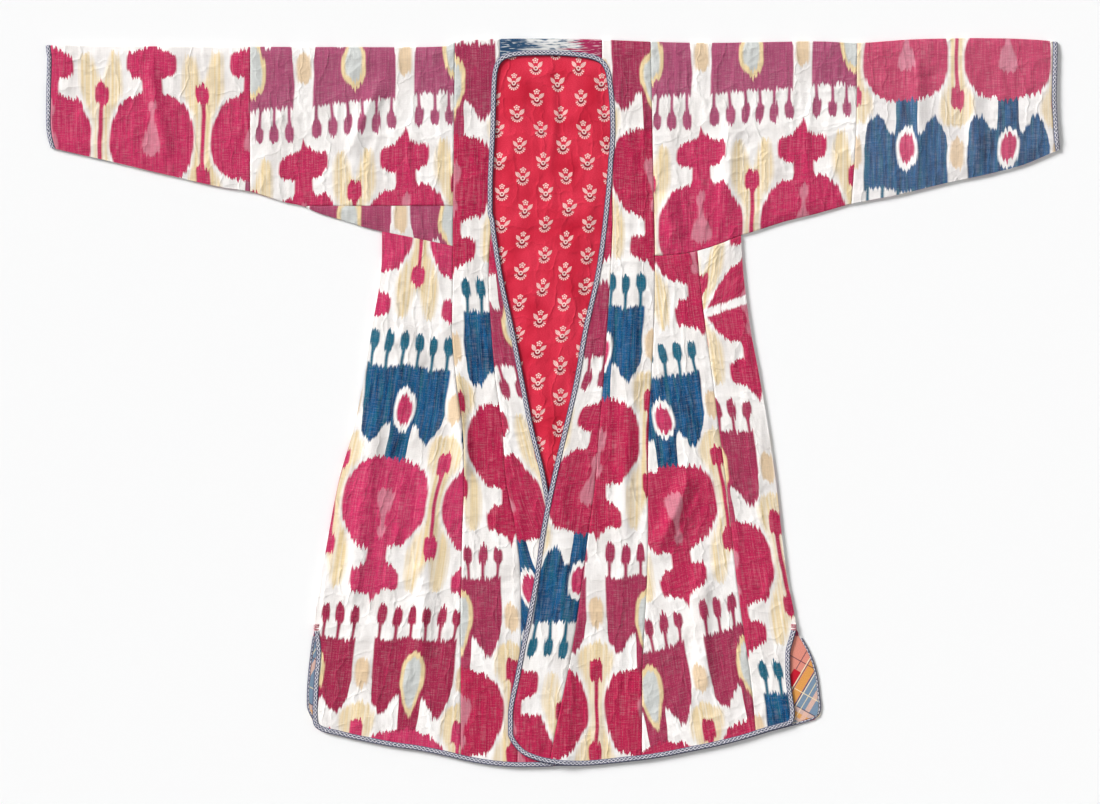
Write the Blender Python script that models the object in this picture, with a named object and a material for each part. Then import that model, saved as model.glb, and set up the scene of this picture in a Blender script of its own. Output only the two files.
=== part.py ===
"""A Central Asian ikat robe laid flat on its back, with its sleeves straight out.

+X runs along the sleeves, +Y from hem to collar, and +Z up from the surface it lies on. Left and right are
those of someone looking down at it. The back layer is flat on the surface and the fronts lie on it, the right
front over the left. Every panel is a wall of cloth between the seam lines in the tables below, which were
measured along the laid robe. The origin is on the surface, under the middle of the robe's box.
"""
import math

import bpy
import numpy as np

# Thicknesses, widths and the air between neighbours, in metres
WALL = 0.002
THIN = 0.001
GAP = 0.0003
TRIM_WIDTH = 0.0075
BACK_TRIM_WIDTH = 0.003
TRIM_CROWN = 0.0004

# Heights of the front layer's underside: by a joined edge, and further in
LOW = WALL + GAP
PUFF = 0.0013
PUFF_REACH = 0.015
OVERLAP_LIFT = WALL + THIN + TRIM_CROWN + 2 * GAP
OVERLAP_FLAT = 0.012
OVERLAP_RAMP = 0.033
FOLD_REACH = LOW / 2 + WALL / 2
SHOULDER_RETURN = 0.004
HEM_STRIP = 0.014
BACK_STEP = 3

# What shows of the back's inner face: how far it is tucked out of sight, and where it ends
FACING_MARGIN = 0.0015
FACING_DROP = 0.028
FACING_TUCK = 0.022
LINING_TUCK = 0.012
LINING_END = -0.160
BACK_TRIM_DROP = 0.018

# Seam lines of the body: where each one crosses a section at height y
BODY_COLUMNS = ("y", "side_left", "seam_left", "gore_left", "open_left",
                "open_right", "gore_right", "seam_right", "gore_side", "side_right")
BODY = (
    (0.590, -0.2735, -0.1570, -0.0850, -0.0850, 0.0785, 0.0785, 0.1560, 0.2200, 0.3000),
    (0.550, -0.2735, -0.1574, -0.0850, -0.0850, 0.0785, 0.0785, 0.1568, 0.2200, 0.3000),
    (0.540, -0.2735, -0.1575, -0.0875, -0.0875, 0.0820, 0.0820, 0.1570, 0.2200, 0.3000),
    (0.520, -0.2735, -0.1577, -0.0900, -0.0900, 0.0865, 0.0865, 0.1574, 0.2200, 0.3000),
    (0.440, -0.2735, -0.1585, -0.0925, -0.0925, 0.0920, 0.0920, 0.1591, 0.2200, 0.3000),
    (0.400, -0.2735, -0.1590, -0.0945, -0.0945, 0.0895, 0.0905, 0.1599, 0.2200, 0.3000),
    (0.360, -0.2735, -0.1594, -0.0965, -0.0965, 0.0870, 0.0940, 0.1607, 0.2210, 0.3000),
    (0.300, -0.2735, -0.1600, -0.0970, -0.0945, 0.0810, 0.0955, 0.1620, 0.2260, 0.3000),
    (0.250, -0.2735, -0.1605, -0.1015, -0.0880, 0.0750, 0.0940, 0.1630, 0.2305, 0.3015),
    (0.200, -0.2765, -0.1605, -0.1030, -0.0800, 0.0670, 0.0915, 0.1630, 0.2350, 0.3055),
    (0.120, -0.2900, -0.1615, -0.0990, -0.0625, 0.0490, 0.0865, 0.1615, 0.2445, 0.3160),
    (0.040, -0.3030, -0.1550, -0.0920, -0.0470, 0.0350, 0.0810, 0.1570, 0.2555, 0.3310),
    (-0.040, -0.3190, -0.1445, -0.0810, -0.0310, 0.0170, 0.0740, 0.1530, 0.2655, 0.3445),
    (-0.120, -0.3420, -0.1420, -0.0755, -0.0115, -0.0020, 0.0680, 0.1520, 0.2765, 0.3560),
    (-0.200, -0.3575, -0.1450, -0.0600, -0.0005, -0.0180, 0.0575, 0.1520, 0.2850, 0.3650),
    (-0.280, -0.3710, -0.1465, -0.0520, 0.0005, -0.0295, 0.0470, 0.1505, 0.2935, 0.3750),
    (-0.360, -0.3815, -0.1480, -0.0510, 0.0015, -0.0445, 0.0360, 0.1460, 0.3045, 0.3885),
    (-0.400, -0.3780, -0.1475, -0.0520, 0.0020, -0.0530, 0.0290, 0.1440, 0.3105, 0.3790),
    (-0.430, -0.3810, -0.1475, -0.0530, 0.0025, -0.0590, 0.0235, 0.1425, 0.3150, 0.3790),
    (-0.500, -0.3840, -0.1475, -0.0550, 0.0025, -0.0715, 0.0085, 0.1425, 0.3225, 0.3865),
    (-0.600, -0.3840, -0.1480, -0.0575, 0.0025, -0.0715, -0.0110, 0.1425, 0.3300, 0.3865),
)
SLIT_TOP = -0.360
GORE_LEFT_TIP = 0.300
GORE_RIGHT_TIP = 0.400

# Back edges of the two hem slits: y, left, right
BACK_SLITS = (
    (-0.360, -0.3815, 0.3890), (-0.371, -0.3835, 0.3960), (-0.382, -0.3855, 0.4030),
    (-0.405, -0.3885, 0.4145), (-0.438, -0.3920, 0.4235), (-0.466, -0.3935, 0.4265),
    (-0.485, -0.3935, 0.4287), (-0.600, -0.3935, 0.4287),
)

# Hems, x then y, with their rounded corners
HEM_LEFT = (
    (-0.3840, -0.5060), (-0.3832, -0.5110), (-0.3805, -0.5160), (-0.3744, -0.5210), (-0.3648, -0.5247),
    (-0.3448, -0.5292), (-0.3248, -0.5341), (-0.2981, -0.5397), (-0.2581, -0.5475), (-0.2128, -0.5540),
    (-0.1728, -0.5622), (-0.1328, -0.5715), (-0.0928, -0.5778), (-0.0528, -0.5803), (-0.0224, -0.5798),
    (0.0025, -0.5790),
)
HEM_RIGHT = (
    (-0.0715, -0.5300), (-0.0660, -0.5410), (-0.0600, -0.5490), (-0.0500, -0.5585), (-0.0387, -0.5645),
    (-0.0187, -0.5712), (0.0112, -0.5762), (0.0454, -0.5780), (0.0798, -0.5755), (0.1136, -0.5718),
    (0.1483, -0.5680), (0.1824, -0.5627), (0.2170, -0.5558), (0.2512, -0.5490), (0.2854, -0.5410),
    (0.3072, -0.5352), (0.3405, -0.5244), (0.3651, -0.5175), (0.3780, -0.5138), (0.3835, -0.5095),
    (0.3860, -0.5030), (0.3865, -0.4950),
)
HEM_BACK = (
    (-0.3935, -0.4850), (-0.3915, -0.4930), (-0.3880, -0.5000), (-0.3850, -0.5060), (-0.3825, -0.5120),
    (-0.3790, -0.5165), (-0.3720, -0.5205), (-0.3600, -0.5248), (-0.3448, -0.5286), (-0.2981, -0.5390),
    (-0.2581, -0.5468), (-0.2128, -0.5532), (-0.1728, -0.5614), (-0.1328, -0.5709), (-0.0928, -0.5772),
    (-0.0528, -0.5798), (-0.0224, -0.5800), (0.0112, -0.5783), (0.0454, -0.5790), (0.0798, -0.5765),
    (0.1136, -0.5728), (0.1483, -0.5690), (0.1824, -0.5637), (0.2170, -0.5568), (0.2512, -0.5500),
    (0.2854, -0.5421), (0.3072, -0.5364), (0.3405, -0.5256), (0.3651, -0.5190), (0.3872, -0.5136),
    (0.4144, -0.5062), (0.4250, -0.5014), (0.4275, -0.4965), (0.4287, -0.4880),
)

# Upper outline, from cuff to cuff over the shoulders, and the neck opening, x then y
TOP = (
    (-0.8200, 0.5745), (-0.6400, 0.5725), (-0.4000, 0.5715), (-0.2400, 0.5710), (-0.1700, 0.5725),
    (-0.1570, 0.5790), (-0.1170, 0.5830), (-0.0210, 0.5850), (0.0750, 0.5830), (0.1560, 0.5800),
    (0.2400, 0.5780), (0.3300, 0.5790), (0.4200, 0.5805), (0.4850, 0.5780), (0.5750, 0.5835),
    (0.6800, 0.5855), (0.7550, 0.5840), (0.8030, 0.5800), (0.8200, 0.5770),
)
NECK = (
    (-0.0850, 0.5500), (-0.0700, 0.5545), (-0.0430, 0.5575), (-0.0090, 0.5580),
    (0.0270, 0.5565), (0.0590, 0.5525), (0.0785, 0.5480),
)
NECK_CORNER = 0.549

# Lower edges of the sleeves, x then y
LOW_LEFT = (
    (-0.8200, 0.4140), (-0.7950, 0.4080), (-0.6900, 0.3840), (-0.6100, 0.3650), (-0.5300, 0.3470),
    (-0.4845, 0.3400), (-0.4300, 0.3230), (-0.4000, 0.3165), (-0.3800, 0.3075), (-0.3300, 0.2920),
    (-0.3000, 0.2825), (-0.2740, 0.2765), (-0.2170, 0.2648), (-0.1600, 0.2530),
)
LOW_RIGHT = (
    (0.1600, 0.2370), (0.1950, 0.2390), (0.2270, 0.2440), (0.2660, 0.2560), (0.2960, 0.2680),
    (0.3200, 0.2755), (0.3700, 0.2915), (0.4200, 0.3040), (0.4800, 0.3210), (0.5500, 0.3345),
    (0.6260, 0.3530), (0.7020, 0.3695), (0.7540, 0.3835), (0.8050, 0.4050), (0.8200, 0.4110),
)
UNDERARM_TIP = -0.395
UNDERARM_SEAM = 0.3170
ELBOW_LEFT = -0.4845

# Elbow seam of the right sleeve, and the cuffs' outer edges, y then x
ELBOW_RIGHT = ((0.320, 0.4775), (0.387, 0.4825), (0.458, 0.4855), (0.578, 0.4865))
CUFF_LEFT = ((0.405, -0.8025), (0.429, -0.8090), (0.458, -0.8110), (0.504, -0.8105),
             (0.552, -0.8095), (0.575, -0.8120))
CUFF_RIGHT = ((0.405, 0.8120), (0.422, 0.8095), (0.458, 0.8070), (0.493, 0.8055),
              (0.528, 0.8065), (0.578, 0.8075))

# Largest folds of the front layer: start x, y, end x, y, half width, height
FOLDS = (
    (-0.650, 0.550, -0.613, 0.390, 0.024, 0.0040),
    (-0.275, 0.520, -0.327, 0.392, 0.024, 0.0035),
    (0.290, 0.477, 0.274, 0.285, 0.024, 0.0035),
    (0.179, 0.339, 0.200, 0.262, 0.022, 0.0040),
    (0.582, 0.560, 0.584, 0.355, 0.024, 0.0035),
    (0.672, 0.504, 0.683, 0.380, 0.024, 0.0035),
    (0.219, -0.109, 0.175, -0.230, 0.026, 0.0060),
    (-0.157, 0.042, -0.139, -0.122, 0.024, 0.0055),
    (-0.245, 0.126, -0.205, 0.060, 0.022, 0.0035),
    (-0.277, 0.006, -0.325, -0.330, 0.026, 0.0045),
    (-0.197, -0.106, -0.213, -0.420, 0.026, 0.0040),
    (0.235, -0.250, 0.243, -0.470, 0.026, 0.0040),
    (0.125, 0.166, 0.112, -0.250, 0.022, 0.0035),
)
FOLD_CLEAR = 0.022
FOLD_FADE = 0.020

# Plain finishes: name, colour, roughness
IKAT = ("ikat", (0.52, 0.22, 0.27), 0.7)
STRIPED = ("streaked_ikat", (0.45, 0.50, 0.55), 0.7)
LINING = ("red_lining", (0.62, 0.03, 0.06), 0.8)
CHECKED = ("checked_facing", (0.62, 0.36, 0.22), 0.8)
WOVEN = ("woven_trim", (0.30, 0.36, 0.46), 0.8)


def smoothstep(value):
    value = np.clip(value, 0.0, 1.0)
    return value * value * (3 - 2 * value)


def curve(table):
    """A smooth line through a table's rows that never overshoots them, as a function of its first column."""
    x, y = np.array(sorted(table)).T
    step = np.diff(x)
    slope = np.diff(y) / step
    tangent = np.concatenate([[slope[0]], (slope[1:] + slope[:-1]) / 2, [slope[-1]]])
    turning = slope[1:] * slope[:-1] <= 0
    tangent[1:-1][turning] = 0.0
    steepest = 3 * np.minimum(np.abs(np.append(slope, slope[-1])), np.abs(np.insert(slope, 0, slope[0])))
    tangent = np.clip(tangent, -steepest, steepest)

    def at(value):
        value = np.clip(value, x[0], x[-1])
        i = np.clip(np.searchsorted(x, value) - 1, 0, len(step) - 1)
        t = (value - x[i]) / step[i]
        rest = 1 - t
        return (rest * rest * (1 + 2 * t) * y[i] + t * t * (3 - 2 * t) * y[i + 1]
                + step[i] * t * rest * (rest * tangent[i] - t * tangent[i + 1]))

    return at


def body_line(name):
    column = BODY_COLUMNS.index(name)
    return curve([(row[0], row[column]) for row in BODY])


def shifted(line, by):
    return lambda value: line(value) + by


def steady(value):
    return lambda other: np.full_like(other, value)


SIDE_LEFT = body_line("side_left")
SEAM_LEFT = body_line("seam_left")
GORE_LEFT = body_line("gore_left")
OPEN_LEFT = body_line("open_left")
OPEN_RIGHT = body_line("open_right")
GORE_RIGHT = body_line("gore_right")
SEAM_RIGHT = body_line("seam_right")
GORE_SIDE = body_line("gore_side")
SIDE_RIGHT = body_line("side_right")
TOP_LINE = curve(TOP)
NECK_LINE = curve(NECK)
HEM_LEFT_LINE = curve(HEM_LEFT)
HEM_RIGHT_LINE = curve(HEM_RIGHT)
HEM_BACK_LINE = curve(HEM_BACK)
LOW_LEFT_LINE = curve(LOW_LEFT)
LOW_RIGHT_LINE = curve(LOW_RIGHT)
ELBOW_RIGHT_LINE = curve(ELBOW_RIGHT)
CUFF_LEFT_LINE = curve(CUFF_LEFT)
CUFF_RIGHT_LINE = curve(CUFF_RIGHT)
BACK_SLIT_LEFT = curve([(row[0], row[1]) for row in BACK_SLITS])
BACK_SLIT_RIGHT = curve([(row[0], row[2]) for row in BACK_SLITS])


def back_left(y):
    return np.where(y > SLIT_TOP, SIDE_LEFT(y), BACK_SLIT_LEFT(y))


def back_right(y):
    return np.where(y > SLIT_TOP, SIDE_RIGHT(y), BACK_SLIT_RIGHT(y))


def upright(line, low, high, steps=60):
    """The points of a seam line between two heights."""
    y = np.linspace(low, high, steps)
    return np.stack([line(y), y], axis=1)


def lengthwise(line, low, high, steps=60):
    """The points of an outline between two places along X."""
    x = np.linspace(low, high, steps)
    return np.stack([x, line(x)], axis=1)


# Edges where the two layers are joined, and edges that the trim binds
JOINED = (
    lengthwise(TOP_LINE, -0.82, 0.82, 120),
    lengthwise(LOW_LEFT_LINE, -0.82, -0.274),
    lengthwise(LOW_RIGHT_LINE, 0.300, 0.82),
    upright(SIDE_LEFT, SLIT_TOP + PUFF_REACH, 0.276),
    upright(SIDE_RIGHT, SLIT_TOP + PUFF_REACH, 0.268),
)
BOUND = (
    upright(OPEN_LEFT, -0.58, NECK_CORNER),
    upright(OPEN_RIGHT, -0.53, NECK_CORNER),
    lengthwise(NECK_LINE, -0.085, 0.0785, 20),
    lengthwise(HEM_LEFT_LINE, -0.384, 0.0025),
    lengthwise(HEM_RIGHT_LINE, -0.0715, 0.3865),
    upright(SIDE_LEFT, -0.512, SLIT_TOP),
    upright(SIDE_RIGHT, -0.495, SLIT_TOP),
)


def distance(x, y, lines):
    """How far each point of a grid is from the nearest of some lines."""
    point = np.stack([x.ravel(), y.ravel()], axis=1)[:, None]
    best = np.full(x.size, np.inf)
    for line in lines:
        start, way = line[:-1], np.diff(line, axis=0)
        along = np.clip(((point - start) * way).sum(2) / (way * way).sum(1), 0, 1)
        off = np.linalg.norm(point - start - along[..., None] * way, axis=2)
        best = np.minimum(best, off.min(axis=1))
    return best.reshape(x.shape)


def folds(x, y):
    """The height of the large folds, which die out before a bound edge."""
    height = np.zeros_like(x)
    for x0, y0, x1, y1, half_width, crest in FOLDS:
        way = np.array([x1 - x0, y1 - y0])
        along = np.clip(((x - x0) * way[0] + (y - y0) * way[1]) / (way @ way), 0, 1)
        off = np.hypot(x - x0 - along * way[0], y - y0 - along * way[1])
        across = np.cos(np.clip(off / half_width, 0, 1) * math.pi / 2) ** 2
        height = np.maximum(height, crest * across * smoothstep(np.minimum(along, 1 - along) * 5 + 0.2))
    return height * smoothstep((distance(x, y, BOUND) - FOLD_CLEAR) / FOLD_FADE)


def front_height(x, y):
    """The underside of the front layer above the surface that the robe lies on."""
    joined = distance(x, y, JOINED)
    return LOW + PUFF * smoothstep(joined / PUFF_REACH) + folds(x, y) * smoothstep(joined / PUFF_REACH)


def overlapping_height(x, y):
    """The same for the right front, which climbs over the edging of the left one."""
    opening = np.maximum(OPEN_RIGHT(y) - OPEN_LEFT(y) - 2 * TRIM_WIDTH, 0.0)
    closed = 1 - smoothstep(opening / 0.030)
    inside = x - np.maximum(OPEN_RIGHT(y), OPEN_LEFT(y))
    near = 1 - smoothstep((inside - OVERLAP_FLAT) / OVERLAP_RAMP)
    return front_height(x, y) + OVERLAP_LIFT * closed * near


def lying(height):
    return lambda x, y: np.full_like(x, height)


def fractions(count):
    """Even stations from 0 to 1."""
    return np.linspace(0, 1, count + 1)


def meeting(upright_line, lengthwise_line, near):
    """The height at which a seam meets an outline."""
    y = np.array([near])
    for _ in range(20):
        y = lengthwise_line(upright_line(y))
    return float(y[0])


def shares(count):
    """Even rows for a short panel, in place of the body's sections."""
    return lambda low, high: low + (high - low) * np.linspace(0, 1, count + 1)[1:-1]


def sections(lowest, highest=1.0):
    """Rows at the body's own sections, which neighbouring panels share, and one just above the hem."""
    heights = np.array(sorted(row[0] for row in BODY))
    heights = heights[(heights > lowest) & (heights < highest)]
    return lambda low, high: np.concatenate([[low + HEM_STRIP], heights])


def stations(left, right, bottom, top, across, rows):
    """The grid of a panel between four lines, with its rows from bottom to top."""
    ends = []
    for side in (left, right):
        low, high = meeting(side, bottom, -0.5), meeting(side, top, 0.3)
        ends.append(np.concatenate([[low], rows(low, high), [high]]))
    first, last = ends
    share = ((first - first[0]) / (first[-1] - first[0]) + (last - last[0]) / (last[-1] - last[0])) / 2
    s, t = np.meshgrid(across, share)
    level = first[:, None] * (1 - s) + last[:, None] * s
    y = level
    for _ in range(20):
        x = left(y) * (1 - s) + right(y) * s
        y = level + (1 - t) * (bottom(x) - level[0]) + t * (top(x) - level[-1])
    return x, y


class Panel:
    """One piece of cloth: the middle of its wall, and the way out of it, over a grid."""

    def __init__(self, x, y, height, wall):
        self.wall = wall
        self.middle = np.stack([x, y, height(x, y) + wall / 2], axis=2)
        self.out = np.zeros_like(self.middle)
        self.out[..., 2] = 1.0

    def add_rows(self, middle, out):
        self.middle = np.concatenate([self.middle, middle])
        self.out = np.concatenate([self.out, out])

    def turn_over(self, steps=3):
        """Carries the cloth round the fold at its top edge, down to the back layer."""
        last = self.middle[-1]
        radius = (last[:, 2] - self.wall / 2) / 2
        for angle in np.linspace(0, math.pi, steps + 1)[1:]:
            row = last.copy()
            row[:, 1] += radius * math.sin(angle)
            row[:, 2] += radius * (math.cos(angle) - 1)
            out = np.zeros_like(row)
            out[:, 1:] = math.sin(angle), math.cos(angle)
            self.add_rows(row[None], out[None])
        self.middle[-1, :, 2] = self.wall / 2

    def run_back(self, rows):
        """Lays the cloth on the surface below the fold, through the given rows in turn."""
        for row in rows:
            row = row.copy()
            row[:, 2] = self.wall / 2
            self.add_rows(row[None], self.out[-1:].copy())

    def build(self, name, finish):
        rows, columns = self.middle.shape[:2]
        shift = self.out * self.wall / 2
        points = np.concatenate([(self.middle + shift).reshape(-1, 3), (self.middle - shift).reshape(-1, 3)])
        inner = rows * columns
        faces = []
        for i in range(rows - 1):
            for j in range(columns - 1):
                a = i * columns + j
                quad = (a, a + 1, a + columns + 1, a + columns)
                faces.append(quad)
                faces.append(tuple(k + inner for k in reversed(quad)))
        rim = [j for j in range(columns)]
        rim += [i * columns + columns - 1 for i in range(1, rows)]
        rim += [(rows - 1) * columns + j for j in range(columns - 2, -1, -1)]
        rim += [i * columns for i in range(rows - 2, 0, -1)]
        for a, b in zip(rim, rim[1:] + rim[:1]):
            faces.append((b, a, a + inner, b + inner))
        return solid(name, points, faces, finish)

    def edge(self, side):
        """The upper points of one edge of the grid."""
        top = self.middle + self.out * self.wall / 2
        return {"left": top[:, 0], "right": top[:, -1], "bottom": top[0]}[side]


def finish_of(finish):
    name, colour, roughness = finish
    material = bpy.data.materials.get(name)
    if material is None:
        material = bpy.data.materials.new(name)
        material.use_nodes = True
        shader = material.node_tree.nodes["Principled BSDF"]
        shader.inputs["Base Color"].default_value = (*colour, 1.0)
        shader.inputs["Roughness"].default_value = roughness
        material.diffuse_color = (*colour, 1.0)
    return material


def solid(name, points, faces, finish):
    mesh = bpy.data.meshes.new(name)
    mesh.from_pydata([tuple(p) for p in points], [], faces)
    mesh.materials.append(finish_of(finish))
    mesh.shade_smooth()
    mesh.set_sharp_from_angle(angle=math.radians(40))
    piece = bpy.data.objects.new(name, mesh)
    bpy.context.scene.collection.objects.link(piece)
    return piece


def edging(name, path, crown, start_gap=0.0, width=TRIM_WIDTH):
    """A woven band lying on the edge of the cloth. path is its outer edge, with the cloth on its left."""
    kept = [path[0]]
    for point in path[1:]:
        if np.linalg.norm(point - kept[-1]) > 2 * GAP:
            kept.append(point)
    outer = np.array(kept)
    outer[0] += (outer[1] - outer[0]) * start_gap / np.linalg.norm(outer[1] - outer[0])
    way = np.diff(outer[:, :2], axis=0)
    way /= np.linalg.norm(way, axis=1)[:, None]
    before, after = np.vstack([way[:1], way]), np.vstack([way, way[-1:]])
    inward = np.stack([-(before + after)[:, 1], (before + after)[:, 0]], axis=1)
    inward /= np.linalg.norm(inward, axis=1)[:, None]
    square = np.stack([-after[:, 1], after[:, 0]], axis=1)
    reach = width / np.maximum((inward * square).sum(1), 0.6)
    inner = outer.copy()
    inner[:, :2] += inward * reach[:, None]
    low, high = outer[:, 2] + GAP, outer[:, 2] + GAP + THIN
    profile = ((0.0, low), (1.0, low), (1.0, high), (0.5, high + crown), (0.0, high))
    points, ring = [], len(profile)
    for share, height in profile:
        points.append(np.column_stack([outer[:, :2] + (inner - outer)[:, :2] * share, height]))
    points = np.stack(points, axis=1).reshape(-1, 3)
    faces = []
    for i in range(len(outer) - 1):
        for j in range(ring):
            a, b = i * ring + j, i * ring + (j + 1) % ring
            faces.append((a, b, b + ring, a + ring))
    faces.append(tuple(reversed(range(ring))))
    faces.append(tuple((len(outer) - 1) * ring + j for j in range(ring)))
    return solid(name, points, faces, WOVEN)


def folded_panel(name, left, right, bottom, top, across, rows, finish):
    """A sleeve piece: its front layer, the fold along its top, and its back layer."""
    x, y = stations(left, right, bottom, shifted(top, -FOLD_REACH), across, rows)
    panel = Panel(x, y, front_height, WALL)
    below_fold = panel.middle[:-1][::-BACK_STEP]
    panel.turn_over()
    panel.run_back([*below_fold[:-1], panel.middle[0]])
    panel.build(name, finish)


def shoulder_panel(left, right, bottom, across, rows, height):
    """A front piece, which folds over the shoulder and ends just behind it."""
    x, y = stations(left, right, bottom, shifted(TOP_LINE, -FOLD_REACH), across, rows)
    panel = Panel(x, y, height, WALL)
    panel.turn_over()
    panel.run_back([panel.middle[-1] - (0, SHOULDER_RETURN, 0)])
    return panel


def flat_panel(left, right, bottom, top, across, rows, height, wall=WALL):
    x, y = stations(left, right, bottom, top, across, rows)
    return Panel(x, y, height, wall)


def make_sleeves():
    half = GAP / 2
    rows = shares(7)
    even = fractions(14)
    closer_by_armhole = np.concatenate([np.linspace(0, 0.45, 13), np.linspace(0.45, 1, 8)[1:]])

    def sleeve_low(x):
        return np.where(x < UNDERARM_TIP, LOW_LEFT_LINE(x), UNDERARM_SEAM + half)

    folded_panel("sleeve_left", steady(ELBOW_LEFT + half), shifted(SEAM_LEFT, -half), sleeve_low, TOP_LINE,
                 even, rows, IKAT)
    folded_panel("forearm_left", shifted(CUFF_LEFT_LINE, TRIM_WIDTH + GAP), steady(ELBOW_LEFT - half),
                 LOW_LEFT_LINE, TOP_LINE, even, rows, IKAT)
    folded_panel("trim_cuff_left", CUFF_LEFT_LINE, shifted(CUFF_LEFT_LINE, TRIM_WIDTH),
                 LOW_LEFT_LINE, TOP_LINE, fractions(1), rows, WOVEN)
    folded_panel("sleeve_right", shifted(SEAM_RIGHT, half), shifted(ELBOW_RIGHT_LINE, -half),
                 shifted(LOW_RIGHT_LINE, half), TOP_LINE, closer_by_armhole, rows, IKAT)
    folded_panel("forearm_right", shifted(ELBOW_RIGHT_LINE, half), shifted(CUFF_RIGHT_LINE, -TRIM_WIDTH - GAP),
                 LOW_RIGHT_LINE, TOP_LINE, even, rows, IKAT)
    folded_panel("trim_cuff_right", shifted(CUFF_RIGHT_LINE, -TRIM_WIDTH), CUFF_RIGHT_LINE,
                 LOW_RIGHT_LINE, TOP_LINE, fractions(1), rows, WOVEN)
    for name, height in (("underarm_left_front", front_height), ("underarm_left_back", lying(0.0))):
        wedge = flat_panel(steady(UNDERARM_TIP), shifted(SEAM_LEFT, -half), shifted(LOW_LEFT_LINE, half),
                           steady(UNDERARM_SEAM - half), fractions(8), shares(2), height)
        wedge.build(name, IKAT)


def make_fronts():
    """The fronts' panels, and the three runs of edging that follow them."""
    half = GAP / 2
    front_rows = sections(-0.55, 0.56)
    side_rows = sections(-0.46, 0.22)
    front_left = shoulder_panel(shifted(SEAM_LEFT, half), shifted(GORE_LEFT, -half), HEM_LEFT_LINE,
                                fractions(6), front_rows, front_height)
    front_right = shoulder_panel(shifted(GORE_RIGHT, half), shifted(SEAM_RIGHT, -half), HEM_RIGHT_LINE,
                                 fractions(6), front_rows, overlapping_height)
    neck_band = shoulder_panel(steady(-0.085 + half), steady(0.0785 - half), NECK_LINE,
                               fractions(8), shares(1), front_height)
    gore_left = flat_panel(shifted(GORE_LEFT, half), OPEN_LEFT, HEM_LEFT_LINE, steady(GORE_LEFT_TIP),
                           fractions(3), sections(-0.55, GORE_LEFT_TIP - GAP), front_height)
    gore_right = flat_panel(OPEN_RIGHT, shifted(GORE_RIGHT, -half), HEM_RIGHT_LINE, steady(GORE_RIGHT_TIP),
                            np.array([0.0, 0.06, 0.15, 0.3, 0.6, 1.0]),
                            sections(-0.51, GORE_RIGHT_TIP - GAP), overlapping_height)
    side_left = flat_panel(SIDE_LEFT, shifted(SEAM_LEFT, -half), HEM_LEFT_LINE,
                           shifted(LOW_LEFT_LINE, -half), np.concatenate([[0, 0.015, 0.035], fractions(8)[1:]]),
                           side_rows, front_height)
    side_right = flat_panel(shifted(SEAM_RIGHT, half), shifted(GORE_SIDE, -half), HEM_RIGHT_LINE,
                            shifted(LOW_RIGHT_LINE, -half), fractions(6), side_rows, overlapping_height)
    side_gore = flat_panel(shifted(GORE_SIDE, half), SIDE_RIGHT, HEM_RIGHT_LINE,
                           shifted(LOW_RIGHT_LINE, -half), np.array([0, 0.33, 0.66, 0.86, 0.94, 1.0]),
                           side_rows, overlapping_height)
    named = {"front_left": front_left, "front_right": front_right, "gore_left": gore_left,
             "gore_right": gore_right, "side_left": side_left, "side_right": side_right,
             "side_gore_right": side_gore}
    for name, panel in named.items():
        panel.build(name, IKAT)
    neck_band.build("neck_band", STRIPED)

    def between(line, low, high):
        return line[(line[:, 1] > low) & (line[:, 1] < high)]

    slit = SLIT_TOP - 0.002
    left_run = np.vstack([
        between(side_left.edge("left"), -1.0, slit)[::-1],
        side_left.edge("bottom"), front_left.edge("bottom"), gore_left.edge("bottom"),
        gore_left.edge("right"),
        between(front_left.edge("right"), GORE_LEFT_TIP, NECK_CORNER),
    ])
    right_run = np.vstack([
        between(front_right.edge("left"), GORE_RIGHT_TIP, NECK_CORNER)[::-1],
        gore_right.edge("left")[::-1], gore_right.edge("bottom"),
        front_right.edge("bottom"), side_right.edge("bottom"), side_gore.edge("bottom"),
        between(side_gore.edge("right"), -1.0, slit),
    ])
    neck_run = np.vstack([left_run[-1:], neck_band.edge("bottom"), right_run[:1]])
    edging("trim_left", left_run, TRIM_CROWN)
    edging("trim_neck", neck_run, TRIM_CROWN, GAP)
    edging("trim_right", right_run, TRIM_CROWN, GAP)


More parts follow.
